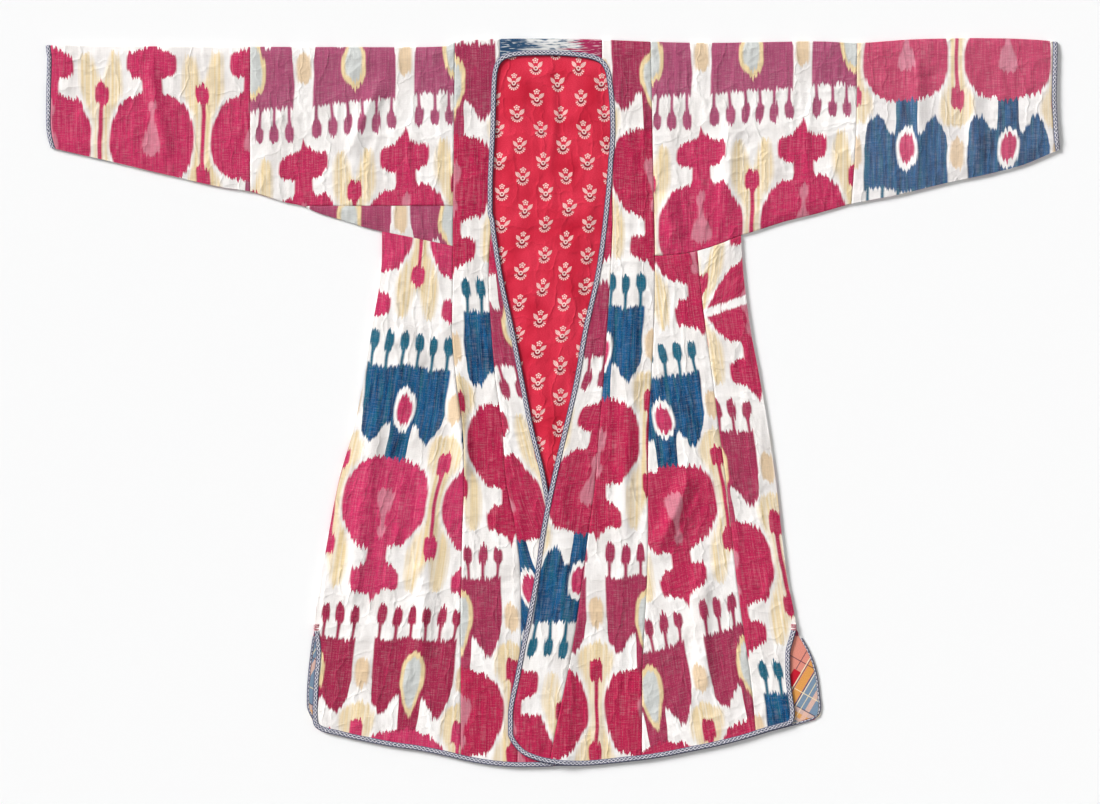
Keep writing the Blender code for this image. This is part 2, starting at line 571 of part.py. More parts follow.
def make_back():
    """The back layer, flat on the surface, with what shows of its inner face.

    Its edging is on the outer face, underneath, so only the turned edge of it shows.
    """
    half = GAP / 2
    inner = lying(LOW)
    slit_rows = sections(-0.46, 0.22)
    shoulder = shifted(TOP_LINE, -FOLD_REACH - SHOULDER_RETURN - GAP)
    centre = flat_panel(shifted(SEAM_LEFT, half), shifted(SEAM_RIGHT, -half), HEM_BACK_LINE, shoulder,
                        fractions(10), sections(-0.55, 0.56), lying(0.0))
    side_left = flat_panel(back_left, shifted(SEAM_LEFT, -half), HEM_BACK_LINE, shifted(LOW_LEFT_LINE, -half),
                           np.concatenate([[0, 0.01, 0.035, 0.08], fractions(6)[1:]]), slit_rows, lying(0.0))
    side_right = flat_panel(shifted(SEAM_RIGHT, half), back_right, HEM_BACK_LINE,
                            shifted(LOW_RIGHT_LINE, -half),
                            np.concatenate([fractions(12)[:-1], [0.95, 0.975, 0.992, 1.0]]), slit_rows, lying(0.0))
    centre.build("back_centre", IKAT)
    side_left.build("back_side_left", IKAT)
    side_right.build("back_side_right", IKAT)

    bound_from = SLIT_TOP - BACK_TRIM_DROP
    left_edge, right_edge = side_left.edge("left"), side_right.edge("right")
    run = np.vstack([
        left_edge[left_edge[:, 1] < bound_from][::-1],
        side_left.edge("bottom"), centre.edge("bottom"), side_right.edge("bottom"),
        right_edge[right_edge[:, 1] < bound_from],
    ])
    edging("trim_back", run, 0.0, width=BACK_TRIM_WIDTH)

    clear = BACK_TRIM_WIDTH + FACING_MARGIN
    facing_top = steady(SLIT_TOP - FACING_DROP)

    def inside_corner(outward):
        return lambda x: HEM_BACK_LINE(x + outward) + clear

    across, up = fractions(3), shares(6)
    facing_left = flat_panel(shifted(back_left, clear), shifted(SIDE_LEFT, FACING_TUCK),
                             inside_corner(-clear), facing_top, across, up, inner, THIN)
    facing_right = flat_panel(shifted(SIDE_RIGHT, -FACING_TUCK), shifted(back_right, -clear),
                              inside_corner(clear), facing_top, across, up, inner, THIN)
    facing_left.build("facing_left", CHECKED)
    facing_right.build("facing_right", CHECKED)

    lining = flat_panel(shifted(OPEN_LEFT, -LINING_TUCK), shifted(OPEN_RIGHT, LINING_TUCK),
                        steady(LINING_END), shifted(NECK_LINE, LINING_TUCK / 2), fractions(4), shares(16),
                        inner, THIN)
    lining.build("neck_lining", LINING)


def centre_on_origin():
    """Moves the robe by the little that its box is off centre."""
    pieces = list(bpy.context.scene.objects)
    corners = np.array([v.co for piece in pieces for v in piece.data.vertices])
    middle = (corners.min(axis=0) + corners.max(axis=0)) / 2
    for piece in pieces:
        for vertex in piece.data.vertices:
            vertex.co.x -= middle[0]
            vertex.co.y -= middle[1]


def clear_scene():
    for thing in list(bpy.data.objects):
        bpy.data.objects.remove(thing)


clear_scene()
make_back()
make_fronts()
make_sleeves()
centre_on_origin()
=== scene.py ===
import math

import bpy
import numpy as np
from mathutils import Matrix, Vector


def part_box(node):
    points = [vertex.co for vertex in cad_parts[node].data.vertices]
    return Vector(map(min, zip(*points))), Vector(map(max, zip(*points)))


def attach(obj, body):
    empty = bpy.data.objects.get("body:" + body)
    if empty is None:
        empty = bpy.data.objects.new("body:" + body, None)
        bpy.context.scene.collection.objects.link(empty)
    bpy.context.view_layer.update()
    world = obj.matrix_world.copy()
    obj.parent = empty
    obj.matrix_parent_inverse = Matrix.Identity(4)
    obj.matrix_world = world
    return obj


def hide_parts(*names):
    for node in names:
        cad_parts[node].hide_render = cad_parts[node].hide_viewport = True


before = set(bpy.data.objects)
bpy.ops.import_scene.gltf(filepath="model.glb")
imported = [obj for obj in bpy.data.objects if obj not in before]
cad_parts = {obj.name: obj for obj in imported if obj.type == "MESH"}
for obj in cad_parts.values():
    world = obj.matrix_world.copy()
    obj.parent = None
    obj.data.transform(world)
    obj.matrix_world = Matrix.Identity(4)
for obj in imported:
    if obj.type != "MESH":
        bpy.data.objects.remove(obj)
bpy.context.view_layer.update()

# Thicknesses, widths and the air between neighbours, as in the solids
MM = 0.001
WALL = 0.002
THIN = 0.001
GAP = 0.0003
HALF = GAP / 2
TRIM_WIDTH = 0.0075
BACK_TRIM_WIDTH = 0.003
TRIM_CROWN = 0.0004

# Heights of the front layer's underside, and how the robe turns over at its shoulders
LOW = WALL + GAP
PUFF = 0.0013
PUFF_REACH = 0.015
OVERLAP_LIFT = WALL + THIN + TRIM_CROWN + 2 * GAP
OVERLAP_FLAT = 0.012
OVERLAP_RAMP = 0.033
FOLD_REACH = LOW / 2 + WALL / 2
SHOULDER_RETURN = 0.004

# Where the facings, the lining and the back's edging end
FACING_CLEAR = BACK_TRIM_WIDTH + 0.0006
FACING_START = 0.011
FACING_TUCK = 0.022
LINING_TUCK = 0.012
LINING_END = -0.160
BACK_BRAID_START = 0.009

# The chart's unit and middle, the cells of the cloth grids, and the repeats of the dyed and printed cloths
UNIT = 0.0016
CHART_MIDDLE = (553, 404)
FINE = 0.003
MEDIUM = 0.008
COARSE = 0.012
ROW = 267.0
COLUMN = 102.0
BOLT_START = 8 * ROW
SPRIG_ROW = 15.75
SPRIG_COLUMN = 43.6
SPRIG_STEP = 23.2
SLEEVE_FADE = 0.82
WASHED_FADE = 0.89

# How stitching rolls the cloth down at a seam and puckers it, and the angle from which an edge is sharp
SEAM_STATIONS = (0.0007, 0.0018)
ROLL_REACH = 0.0022
PUCKER = 0.13
PUCKER_REACH = 0.008
PUCKER_STEP = 0.0095
SHARP_FROM = 50

# Seam lines of the body: where each one crosses a section at height y
BODY_COLUMNS = ("y", "side_left", "seam_left", "gore_left", "open_left",
                "open_right", "gore_right", "seam_right", "gore_side", "side_right")
BODY = (
    (0.590, -0.2735, -0.1570, -0.0850, -0.0850, 0.0785, 0.0785, 0.1560, 0.2200, 0.3000),
    (0.550, -0.2735, -0.1574, -0.0850, -0.0850, 0.0785, 0.0785, 0.1568, 0.2200, 0.3000),
    (0.540, -0.2735, -0.1575, -0.0875, -0.0875, 0.0820, 0.0820, 0.1570, 0.2200, 0.3000),
    (0.520, -0.2735, -0.1577, -0.0900, -0.0900, 0.0865, 0.0865, 0.1574, 0.2200, 0.3000),
    (0.440, -0.2735, -0.1585, -0.0925, -0.0925, 0.0920, 0.0920, 0.1591, 0.2200, 0.3000),
    (0.400, -0.2735, -0.1590, -0.0945, -0.0945, 0.0895, 0.0905, 0.1599, 0.2200, 0.3000),
    (0.360, -0.2735, -0.1594, -0.0965, -0.0965, 0.0870, 0.0940, 0.1607, 0.2210, 0.3000),
    (0.300, -0.2735, -0.1600, -0.0970, -0.0945, 0.0810, 0.0955, 0.1620, 0.2260, 0.3000),
    (0.250, -0.2735, -0.1605, -0.1015, -0.0880, 0.0750, 0.0940, 0.1630, 0.2305, 0.3015),
    (0.200, -0.2765, -0.1605, -0.1030, -0.0800, 0.0670, 0.0915, 0.1630, 0.2350, 0.3055),
    (0.120, -0.2900, -0.1615, -0.0990, -0.0625, 0.0490, 0.0865, 0.1615, 0.2445, 0.3160),
    (0.040, -0.3030, -0.1550, -0.0920, -0.0470, 0.0350, 0.0810, 0.1570, 0.2555, 0.3310),
    (-0.040, -0.3190, -0.1445, -0.0810, -0.0310, 0.0170, 0.0740, 0.1530, 0.2655, 0.3445),
    (-0.120, -0.3420, -0.1420, -0.0755, -0.0115, -0.0020, 0.0680, 0.1520, 0.2765, 0.3560),
    (-0.200, -0.3575, -0.1450, -0.0600, -0.0005, -0.0180, 0.0575, 0.1520, 0.2850, 0.3650),
    (-0.280, -0.3710, -0.1465, -0.0520, 0.0005, -0.0295, 0.0470, 0.1505, 0.2935, 0.3750),
    (-0.360, -0.3815, -0.1480, -0.0510, 0.0015, -0.0445, 0.0360, 0.1460, 0.3045, 0.3885),
    (-0.400, -0.3780, -0.1475, -0.0520, 0.0020, -0.0530, 0.0290, 0.1440, 0.3105, 0.3790),
    (-0.430, -0.3810, -0.1475, -0.0530, 0.0025, -0.0590, 0.0235, 0.1425, 0.3150, 0.3790),
    (-0.500, -0.3840, -0.1475, -0.0550, 0.0025, -0.0715, 0.0085, 0.1425, 0.3225, 0.3865),
    (-0.600, -0.3840, -0.1480, -0.0575, 0.0025, -0.0715, -0.0110, 0.1425, 0.3300, 0.3865),
)
SLIT_TOP = -0.360
GORE_LEFT_TIP = 0.300
GORE_RIGHT_TIP = 0.400
BACK_SLITS = (
    (-0.360, -0.3815, 0.3890), (-0.371, -0.3835, 0.3960), (-0.382, -0.3855, 0.4030),
    (-0.405, -0.3885, 0.4145), (-0.438, -0.3920, 0.4235), (-0.466, -0.3935, 0.4265),
    (-0.485, -0.3935, 0.4287), (-0.600, -0.3935, 0.4287),
)
HEM_LEFT = (
    (-0.3840, -0.5060), (-0.3832, -0.5110), (-0.3805, -0.5160), (-0.3744, -0.5210), (-0.3648, -0.5247),
    (-0.3448, -0.5292), (-0.3248, -0.5341), (-0.2981, -0.5397), (-0.2581, -0.5475), (-0.2128, -0.5540),
    (-0.1728, -0.5622), (-0.1328, -0.5715), (-0.0928, -0.5778), (-0.0528, -0.5803), (-0.0224, -0.5798),
    (0.0025, -0.5790),
)
HEM_RIGHT = (
    (-0.0715, -0.5300), (-0.0660, -0.5410), (-0.0600, -0.5490), (-0.0500, -0.5585), (-0.0387, -0.5645),
    (-0.0187, -0.5712), (0.0112, -0.5762), (0.0454, -0.5780), (0.0798, -0.5755), (0.1136, -0.5718),
    (0.1483, -0.5680), (0.1824, -0.5627), (0.2170, -0.5558), (0.2512, -0.5490), (0.2854, -0.5410),
    (0.3072, -0.5352), (0.3405, -0.5244), (0.3651, -0.5175), (0.3780, -0.5138), (0.3835, -0.5095),
    (0.3860, -0.5030), (0.3865, -0.4950),
)
HEM_BACK = (
    (-0.3935, -0.4850), (-0.3915, -0.4930), (-0.3880, -0.5000), (-0.3850, -0.5060), (-0.3825, -0.5120),
    (-0.3790, -0.5165), (-0.3720, -0.5205), (-0.3600, -0.5248), (-0.3448, -0.5286), (-0.2981, -0.5390),
    (-0.2581, -0.5468), (-0.2128, -0.5532), (-0.1728, -0.5614), (-0.1328, -0.5709), (-0.0928, -0.5772),
    (-0.0528, -0.5798), (-0.0224, -0.5800), (0.0112, -0.5783), (0.0454, -0.5790), (0.0798, -0.5765),
    (0.1136, -0.5728), (0.1483, -0.5690), (0.1824, -0.5637), (0.2170, -0.5568), (0.2512, -0.5500),
    (0.2854, -0.5421), (0.3072, -0.5364), (0.3405, -0.5256), (0.3651, -0.5190), (0.3872, -0.5136),
    (0.4144, -0.5062), (0.4250, -0.5014), (0.4275, -0.4965), (0.4287, -0.4880),
)
TOP = (
    (-0.8200, 0.5745), (-0.6400, 0.5725), (-0.4000, 0.5715), (-0.2400, 0.5710), (-0.1700, 0.5725),
    (-0.1570, 0.5790), (-0.1170, 0.5830), (-0.0210, 0.5850), (0.0750, 0.5830), (0.1560, 0.5800),
    (0.2400, 0.5780), (0.3300, 0.5790), (0.4200, 0.5805), (0.4850, 0.5780), (0.5750, 0.5835),
    (0.6800, 0.5855), (0.7550, 0.5840), (0.8030, 0.5800), (0.8200, 0.5770),
)
NECK = (
    (-0.0850, 0.5500), (-0.0700, 0.5545), (-0.0430, 0.5575), (-0.0090, 0.5580),
    (0.0270, 0.5565), (0.0590, 0.5525), (0.0785, 0.5480),
)
NECK_CORNER = 0.549
LOW_LEFT = (
    (-0.8200, 0.4140), (-0.7950, 0.4080), (-0.6900, 0.3840), (-0.6100, 0.3650), (-0.5300, 0.3470),
    (-0.4845, 0.3400), (-0.4300, 0.3230), (-0.4000, 0.3165), (-0.3800, 0.3075), (-0.3300, 0.2920),
    (-0.3000, 0.2825), (-0.2740, 0.2765), (-0.2170, 0.2648), (-0.1600, 0.2530),
)
LOW_RIGHT = (
    (0.1600, 0.2370), (0.1950, 0.2390), (0.2270, 0.2440), (0.2660, 0.2560), (0.2960, 0.2680),
    (0.3200, 0.2755), (0.3700, 0.2915), (0.4200, 0.3040), (0.4800, 0.3210), (0.5500, 0.3345),
    (0.6260, 0.3530), (0.7020, 0.3695), (0.7540, 0.3835), (0.8050, 0.4050), (0.8200, 0.4110),
)
UNDERARM_TIP = -0.395
UNDERARM_SEAM = 0.3170
ELBOW_LEFT = -0.4845
ELBOW_RIGHT = ((0.320, 0.4775), (0.387, 0.4825), (0.458, 0.4855), (0.578, 0.4865))
CUFF_LEFT = ((0.405, -0.8025), (0.429, -0.8090), (0.458, -0.8110), (0.504, -0.8105),
             (0.552, -0.8095), (0.575, -0.8120))
CUFF_RIGHT = ((0.405, 0.8120), (0.422, 0.8095), (0.458, 0.8070), (0.493, 0.8055),
              (0.528, 0.8065), (0.578, 0.8075))
# The largest folds, as in the solids: their two ends, then half width and height
FOLDS = (
    (-0.650, 0.550, -0.613, 0.390, 0.024, 0.0040),
    (-0.275, 0.520, -0.327, 0.392, 0.024, 0.0035),
    (0.290, 0.477, 0.274, 0.285, 0.024, 0.0035),
    (0.179, 0.339, 0.200, 0.262, 0.022, 0.0040),
    (0.582, 0.560, 0.584, 0.355, 0.024, 0.0035),
    (0.672, 0.504, 0.683, 0.380, 0.024, 0.0035),
    (0.219, -0.109, 0.175, -0.230, 0.026, 0.0060),
    (-0.157, 0.042, -0.139, -0.122, 0.024, 0.0055),
    (-0.245, 0.126, -0.205, 0.060, 0.022, 0.0035),
    (-0.277, 0.006, -0.325, -0.330, 0.026, 0.0045),
    (-0.197, -0.106, -0.213, -0.420, 0.026, 0.0040),
    (0.235, -0.250, 0.243, -0.470, 0.026, 0.0040),
    (0.125, 0.166, 0.112, -0.250, 0.022, 0.0035),
)
FOLD_CLEAR = 0.022
FOLD_FADE = 0.020

# Creases, listed one by one: half width in units, height in steps, then the points in chart units
CREASE_STEP = 0.0019
CREASES = (
    (4.0, 0.9, (147, 60), (152, 90), (157, 115), (170, 160)),
    (2.5, 0.5, (121, 50), (122, 95), (120, 150)),
    (3.0, 0.5, (86, 54), (80, 96), (84, 130)),
    (2.5, 0.4, (205, 62), (214, 110), (209, 168)),
    (3.5, -0.5, (62, 70), (100, 78), (140, 74)),
    (3.0, 1.0, (381.6, 78), (367.6, 108), (357, 133), (348.6, 159)),
    (2.5, 0.5, (358, 148), (352, 172), (355, 200)),
    (2.5, 0.5, (404, 128), (410, 165), (416, 200)),
    (3.0, 0.5, (290, 96), (300, 130), (296, 176)),
    (3.0, -0.5, (420, 140), (400, 165), (372, 186)),
    (2.0, 0.5, (436, 60), (441, 100), (438, 140)),
    (3.0, 0.8, (734, 106), (726, 140), (724.5, 165), (725, 229)),
    (4.0, 1.3, (665, 192), (668, 215), (673, 250)),
    (3.0, 0.6, (690, 150), (700, 180), (716, 205)),
    (2.5, 0.5, (781, 62), (786, 110), (782, 160)),
    (3.0, 0.6, (812, 90), (806, 140), (808, 196)),
    (2.5, 0.6, (917, 50), (919, 110), (917, 190)),
    (3.0, 0.8, (973, 89), (975, 130), (980, 174)),
    (2.5, 0.6, (998, 60), (1001, 100), (1000, 150)),
    (3.0, -0.5, (880, 70), (920, 78), (965, 70)),
    (2.5, 0.4, (1030, 70), (1026, 100), (1031, 135)),
    (4.0, 1.6, (690, 472), (675, 512), (658, 548)),
    (2.5, 0.8, (703, 486), (688, 520), (670, 552)),
    (2.5, 0.7, (767, 570), (769, 584), (765, 596)),
    (3.0, 0.9, (400, 325), (404, 345), (410, 362), (425, 367)),
    (3.5, 1.4, (454, 372), (459, 420), (464, 480)),
    (2.5, 0.7, (470, 380), (476, 420), (480, 452)),
    (3.5, 0.9, (405, 470), (398, 520), (394, 566)),
    (3.0, 0.7, (384, 455), (380, 500), (377, 540)),
    (3.0, 0.8, (413, 640), (404, 690), (398, 735)),
    (2.5, 0.5, (360, 560), (352, 610), (346, 650)),
    (3.0, 0.6, (340, 640), (335, 690), (333, 715)),
    (3.0, 0.7, (426, 560), (424, 620), (420, 680)),
    (2.5, 0.5, (446, 600), (446, 660), (449, 720)),
    (3.5, 0.9, (481, 540), (488, 556), (500, 562)),
    (2.5, 0.5, (493, 580), (497, 640), (495, 700)),
    (2.5, 0.6, (515, 480), (522, 540), (524, 600)),
    (3.0, 0.8, (605, 300), (612, 360), (608, 430)),
    (2.5, 0.6, (628, 420), (624, 480), (626, 540)),
    (3.0, 0.8, (617, 560), (622, 640), (616, 720)),
    (2.5, 0.5, (633, 590), (640, 650), (636, 710)),
    (3.5, 1.0, (691, 400), (684, 430), (690, 462)),
    (2.5, 0.6, (703, 330), (706, 400), (712, 470)),
    (3.0, 0.8, (700, 590), (708, 650), (704, 705)),
    (3.0, 0.8, (730, 470), (738, 540), (742, 600)),
    (2.5, 0.6, (752, 440), (760, 520), (770, 600)),
    (3.0, 0.6, (741, 300), (748, 340), (752, 390)),
    (2.5, 0.6, (722, 620), (735, 680), (731, 720)),
    (2.5, 0.5, (655, 600), (660, 660), (657, 730)),
    (3.0, -0.6, (620, 300), (650, 312), (680, 306)),
    (3.0, 0.6, (470, 120), (474, 180), (470, 250)),
    (2.5, 0.5, (482, 90), (484, 150), (481, 200)),
    (2.5, 0.5, (462, 260), (468, 300), (464, 350)),
    (3.0, 0.6, (627, 110), (634, 170), (628, 240)),
    (2.5, 0.5, (641, 90), (645, 140), (642, 190)),
    (3.0, -0.5, (385, 600), (415, 596), (448, 603)),
    (3.0, -0.5, (335, 590), (360, 598), (385, 594)),
    (3.0, 0.5, (560, 560), (571, 600), (560, 660)),
    (2.5, 0.5, (585, 480), (578, 560), (570, 640)),
    (3.0, -0.6, (650, 560), (690, 566), (728, 556)),
    (2.5, -0.5, (466, 560), (490, 552), (512, 556)),
)
LINING_CREASES = (
    (4.0, -0.5, (505, 229), (540, 231), (575, 228), (598, 230)),
    (4.0, -1.0, (552, 48), (557, 80), (562, 120), (560, 150)),
    (3.5, 1.0, (547, 56), (552, 90), (555, 120), (549, 170), (556, 225)),
    (3.0, 0.4, (528, 232), (534, 300), (541, 380)),
    (3.0, 0.4, (575, 240), (566, 310), (556, 390)),
    (3.0, 0.4, (518, 80), (524, 130), (519, 190)),
    (4.0, -0.3, (510, 150), (550, 156), (596, 149)),
)


def smoothstep(value):
    value = np.clip(value, 0.0, 1.0)
    return value * value * (3 - 2 * value)


def curve(table):
    """A smooth line through a table's rows that never overshoots them, as a function of its first column."""
    x, y = np.array(sorted(table)).T
    step = np.diff(x)
    slope = np.diff(y) / step
    tangent = np.concatenate([[slope[0]], (slope[1:] + slope[:-1]) / 2, [slope[-1]]])
    turning = slope[1:] * slope[:-1] <= 0
    tangent[1:-1][turning] = 0.0
    steepest = 3 * np.minimum(np.abs(np.append(slope, slope[-1])), np.abs(np.insert(slope, 0, slope[0])))
    tangent = np.clip(tangent, -steepest, steepest)

    def at(value):
        value = np.clip(value, x[0], x[-1])
        i = np.clip(np.searchsorted(x, value) - 1, 0, len(step) - 1)
        t = (value - x[i]) / step[i]
        rest = 1 - t
        return (rest * rest * (1 + 2 * t) * y[i] + t * t * (3 - 2 * t) * y[i + 1]
                + step[i] * t * rest * (rest * tangent[i] - t * tangent[i + 1]))

    return at


def shifted(line, by):
    return lambda value: line(value) + by


def steady(value):
    return lambda other: np.full_like(other, value)


(SIDE_LEFT, SEAM_LEFT, GORE_LEFT, OPEN_LEFT, OPEN_RIGHT, GORE_RIGHT, SEAM_RIGHT, GORE_SIDE, SIDE_RIGHT) = (
    curve([(row[0], row[k]) for row in BODY]) for k in range(1, len(BODY_COLUMNS)))
TOP_LINE, NECK_LINE, HEM_LEFT_LINE, HEM_RIGHT_LINE, HEM_BACK_LINE, LOW_LEFT_LINE, LOW_RIGHT_LINE = map(
    curve, (TOP, NECK, HEM_LEFT, HEM_RIGHT, HEM_BACK, LOW_LEFT, LOW_RIGHT))
ELBOW_RIGHT_LINE, CUFF_LEFT_LINE, CUFF_RIGHT_LINE = map(curve, (ELBOW_RIGHT, CUFF_LEFT, CUFF_RIGHT))
BACK_SLIT_LEFT, BACK_SLIT_RIGHT = (curve([(row[0], row[k]) for row in BACK_SLITS]) for k in (1, 2))


def back_left(y):
    return np.where(y > SLIT_TOP, SIDE_LEFT(y), BACK_SLIT_LEFT(y))


def back_right(y):
    return np.where(y > SLIT_TOP, SIDE_RIGHT(y), BACK_SLIT_RIGHT(y))


def upright(line, low, high, steps=40):
    y = np.linspace(low, high, steps)
    return np.stack([line(y), y], axis=1)


def lengthwise(line, low, high, steps=40):
    x = np.linspace(low, high, steps)
    return np.stack([x, line(x)], axis=1)


JOINED = (
    lengthwise(TOP_LINE, -0.82, 0.82, 80),
    lengthwise(LOW_LEFT_LINE, -0.82, -0.274),
    lengthwise(LOW_RIGHT_LINE, 0.300, 0.82),
    upright(SIDE_LEFT, SLIT_TOP + PUFF_REACH, 0.276),
    upright(SIDE_RIGHT, SLIT_TOP + PUFF_REACH, 0.268),
)
BOUND = (
    upright(OPEN_LEFT, -0.58, NECK_CORNER),
    upright(OPEN_RIGHT, -0.53, NECK_CORNER),
    lengthwise(NECK_LINE, -0.085, 0.0785, 20),
    lengthwise(HEM_LEFT_LINE, -0.384, 0.0025),
    lengthwise(HEM_RIGHT_LINE, -0.0715, 0.3865),
    upright(SIDE_LEFT, -0.512, SLIT_TOP, 20),
    upright(SIDE_RIGHT, -0.495, SLIT_TOP, 20),
)


def distance(x, y, lines):
    """How far each point of a grid is from the nearest of some lines."""
    point = np.stack([x.ravel(), y.ravel()], axis=1)
    best = np.full(x.size, np.inf)
    for line in lines:
        for start, end in zip(line[:-1], line[1:]):
            way = end - start
            along = np.clip((point - start) @ way / (way @ way), 0, 1)
            off = point - start - along[:, None] * way
            best = np.minimum(best, off[:, 0] ** 2 + off[:, 1] ** 2)
    return np.sqrt(best).reshape(x.shape)


def folds(x, y, bound):
    height = np.zeros_like(x)
    for x0, y0, x1, y1, half_width, crest in FOLDS:
        way = np.array([x1 - x0, y1 - y0])
        along = np.clip(((x - x0) * way[0] + (y - y0) * way[1]) / (way @ way), 0, 1)
        off = np.hypot(x - x0 - along * way[0], y - y0 - along * way[1])
        across = np.cos(np.clip(off / half_width, 0, 1) * math.pi / 2) ** 2
        height = np.maximum(height, crest * across * smoothstep(np.minimum(along, 1 - along) * 5 + 0.2))
    return height * smoothstep((bound - FOLD_CLEAR) / FOLD_FADE)


def lattice_noise(x, y, seed):
    """Smooth noise from 0 to 1 on a unit lattice."""
    table = np.random.RandomState(seed).rand(128, 128)
    i, j = np.floor(x).astype(int), np.floor(y).astype(int)
    s, t = smoothstep(x - i), smoothstep(y - j)
    corner = [[table[(i + a) % 128, (j + b) % 128] for b in (0, 1)] for a in (0, 1)]
    near = corner[0][0] * (1 - s) + corner[1][0] * s
    far = corner[0][1] * (1 - s) + corner[1][1] * s
    return near * (1 - t) + far * t


def charted(points):
    """Chart points in metres."""
    return (np.array(points) - CHART_MIDDLE) * (UNIT, -UNIT)


def placed(x, y, creases):
    """The height of the listed creases, in metres."""
    height = np.zeros_like(x)
    for half_width, crest, *points in creases:
        line = charted(points)
        reach = half_width * UNIT * 4
        low, high = line.min(axis=0) - reach, line.max(axis=0) + reach
        near = (x > low[0]) & (x < high[0]) & (y > low[1]) & (y < high[1])
        if not near.any():
            continue
        px, py = x[near], y[near]
        best, share = np.full(px.shape, 1.0), np.zeros(px.shape)
        for k, (start, end) in enumerate(zip(line[:-1], line[1:])):
            way = end - start
            along = np.clip(((px - start[0]) * way[0] + (py - start[1]) * way[1]) / (way @ way), 0, 1)
            off = np.hypot(px - start[0] - along * way[0], py - start[1] - along * way[1])
            closer = off < best
            best = np.where(closer, off, best)
            share = np.where(closer, (k + along) / (len(line) - 1), share)
        ends = np.sin(np.clip(share, 0.001, 0.999) * math.pi) ** 0.6
        height[near] += crest * CREASE_STEP * ends * np.exp(-((best / (half_width * UNIT)) ** 1.3))
    return height


def rumple(x, y, seed=0):
    """Small uneven wrinkles, longer down the body than across it, in metres."""
    wander = (lattice_noise(x / 0.06, y / 0.06, seed + 1) - 0.5) * 0.8
    fine = lattice_noise(x / 0.017 + wander, y / 0.075 + wander, seed + 2)
    broad = lattice_noise(x / 0.045 + wander, y / 0.110, seed + 3)
    cross = lattice_noise(x / 0.070, y / 0.022 + wander, seed + 4)
    ridge = 1 - np.abs(2 * fine - 1)
    dent = 1 - np.abs(2 * cross - 1)
    return 0.0012 * ridge ** 5 + 0.0012 * (broad - 0.5) + 0.0010 * dent ** 8


def front_height(x, y, lift=0.0):
    """The underside of the front layer, with its wrinkles."""
    joined, bound = distance(x, y, JOINED), distance(x, y, BOUND)
    puffed = smoothstep(joined / PUFF_REACH)
    held = 0.25 + 0.75 * smoothstep(bound / 0.020)
    low = LOW + PUFF * puffed + folds(x, y, bound) * puffed
    loose = (rumple(x, y) + placed(x, y, CREASES)) * held * (0.25 + 0.75 * puffed)
    return np.maximum(low + loose, LOW) + lift


def overlapping_height(x, y):
    opening = np.maximum(OPEN_RIGHT(y) - OPEN_LEFT(y) - 2 * TRIM_WIDTH, 0.0)
    closed = 1 - smoothstep(opening / 0.030)
    inside = x - np.maximum(OPEN_RIGHT(y), OPEN_LEFT(y))
    near = 1 - smoothstep((inside - OVERLAP_FLAT) / OVERLAP_RAMP)
    return front_height(x, y, OVERLAP_LIFT * closed * near)


def lying(height):
    return lambda x, y: np.full_like(x, height)


def lining_height(x, y):
    edge = distance(x, y, BOUND[:3])
    inside = (x > OPEN_LEFT(y)) & (x < OPEN_RIGHT(y))
    ease = smoothstep((edge - 0.006) / 0.02) * inside
    soft = 0.0007 * lattice_noise(x / 0.03, y / 0.05, 21) + 0.0004 * lattice_noise(x / 0.012, y / 0.02, 22)
    return LOW + np.maximum(soft + placed(x, y, LINING_CREASES) + 0.0013, 0.0) * ease


def meeting(upright_line, lengthwise_line, near):
    y = np.array([near])
    for _ in range(20):
        y = lengthwise_line(upright_line(y))
    return float(y[0])


def even(length, cell):
    """Even stations from 0 to 1, with closer ones by the two edges, where a seam rolls the cloth down."""
    count = max(2, round(length / cell))
    near = np.array(SEAM_STATIONS) / length
    return np.unique(np.concatenate([np.linspace(0, 1, count + 1), near, 1 - near]))


def stations(left, right, bottom, top, cell):
    """The grid of a panel between four lines, from bottom to top."""
    ends = [(meeting(side, bottom, -0.5), meeting(side, top, 0.3)) for side in (left, right)]
    middle = np.array([(ends[0][0] + ends[0][1]) / 2])
    across = even(float(right(middle)[0] - left(middle)[0]), cell)
    share = even(ends[0][1] - ends[0][0], cell)
    first, last = [low + (high - low) * share for low, high in ends]
    s, t = np.meshgrid(across, share)
    level = first[:, None] * (1 - s) + last[:, None] * s
    y = level
    for _ in range(20):
        x = left(y) * (1 - s) + right(y) * s
        y = level + (1 - t) * (bottom(x) - level[0]) + t * (top(x) - level[-1])
    return x, y


def rolled(x, y, sides):
    """How much of the wall is left by a seam, where stitching pulls the cloth down."""
    lines = {"left": (x[:, :1], y[:, :1]), "right": (x[:, -1:], y[:, -1:]), "bottom": (x[:1], y[:1]),
             "top": (x[-1:], y[-1:])}
    near = np.full(x.shape, 1.0)
    pucker = np.zeros_like(x)
    for side in sides:
        off = np.hypot(x - lines[side][0], y - lines[side][1])
        near = np.minimum(near, off)
        along = y if side in ("left", "right") else x
        step = PUCKER_STEP + 0.003 * lattice_noise(x / 0.05, y / 0.05, 31)
        pucker += np.sin(along / step * 2 * math.pi) * np.exp(-off / PUCKER_REACH)
    return 0.5 + (0.5 + PUCKER * pucker) * np.sqrt(smoothstep(near / ROLL_REACH))


def warp(line, tip, up=False, lean=((0, 0.0),), pitch=1.0, start=BOLT_START):
    """How a panel was cut from the bolt: where each point lies across and along the dyed repeat."""
    ys, xs = np.array(line, float).T
    lean_y, lean_by = np.array(lean, float).T

    def at(x, y):
        px, py = CHART_MIDDLE[0] + x / UNIT, CHART_MIDDLE[1] - y / UNIT
        across = px - np.interp(py, ys, xs)
        along = (py - tip) * pitch + np.interp(py, lean_y, lean_by) * across
        along = -along if up else along
        return across * UNIT, (along + start) * UNIT

    return at


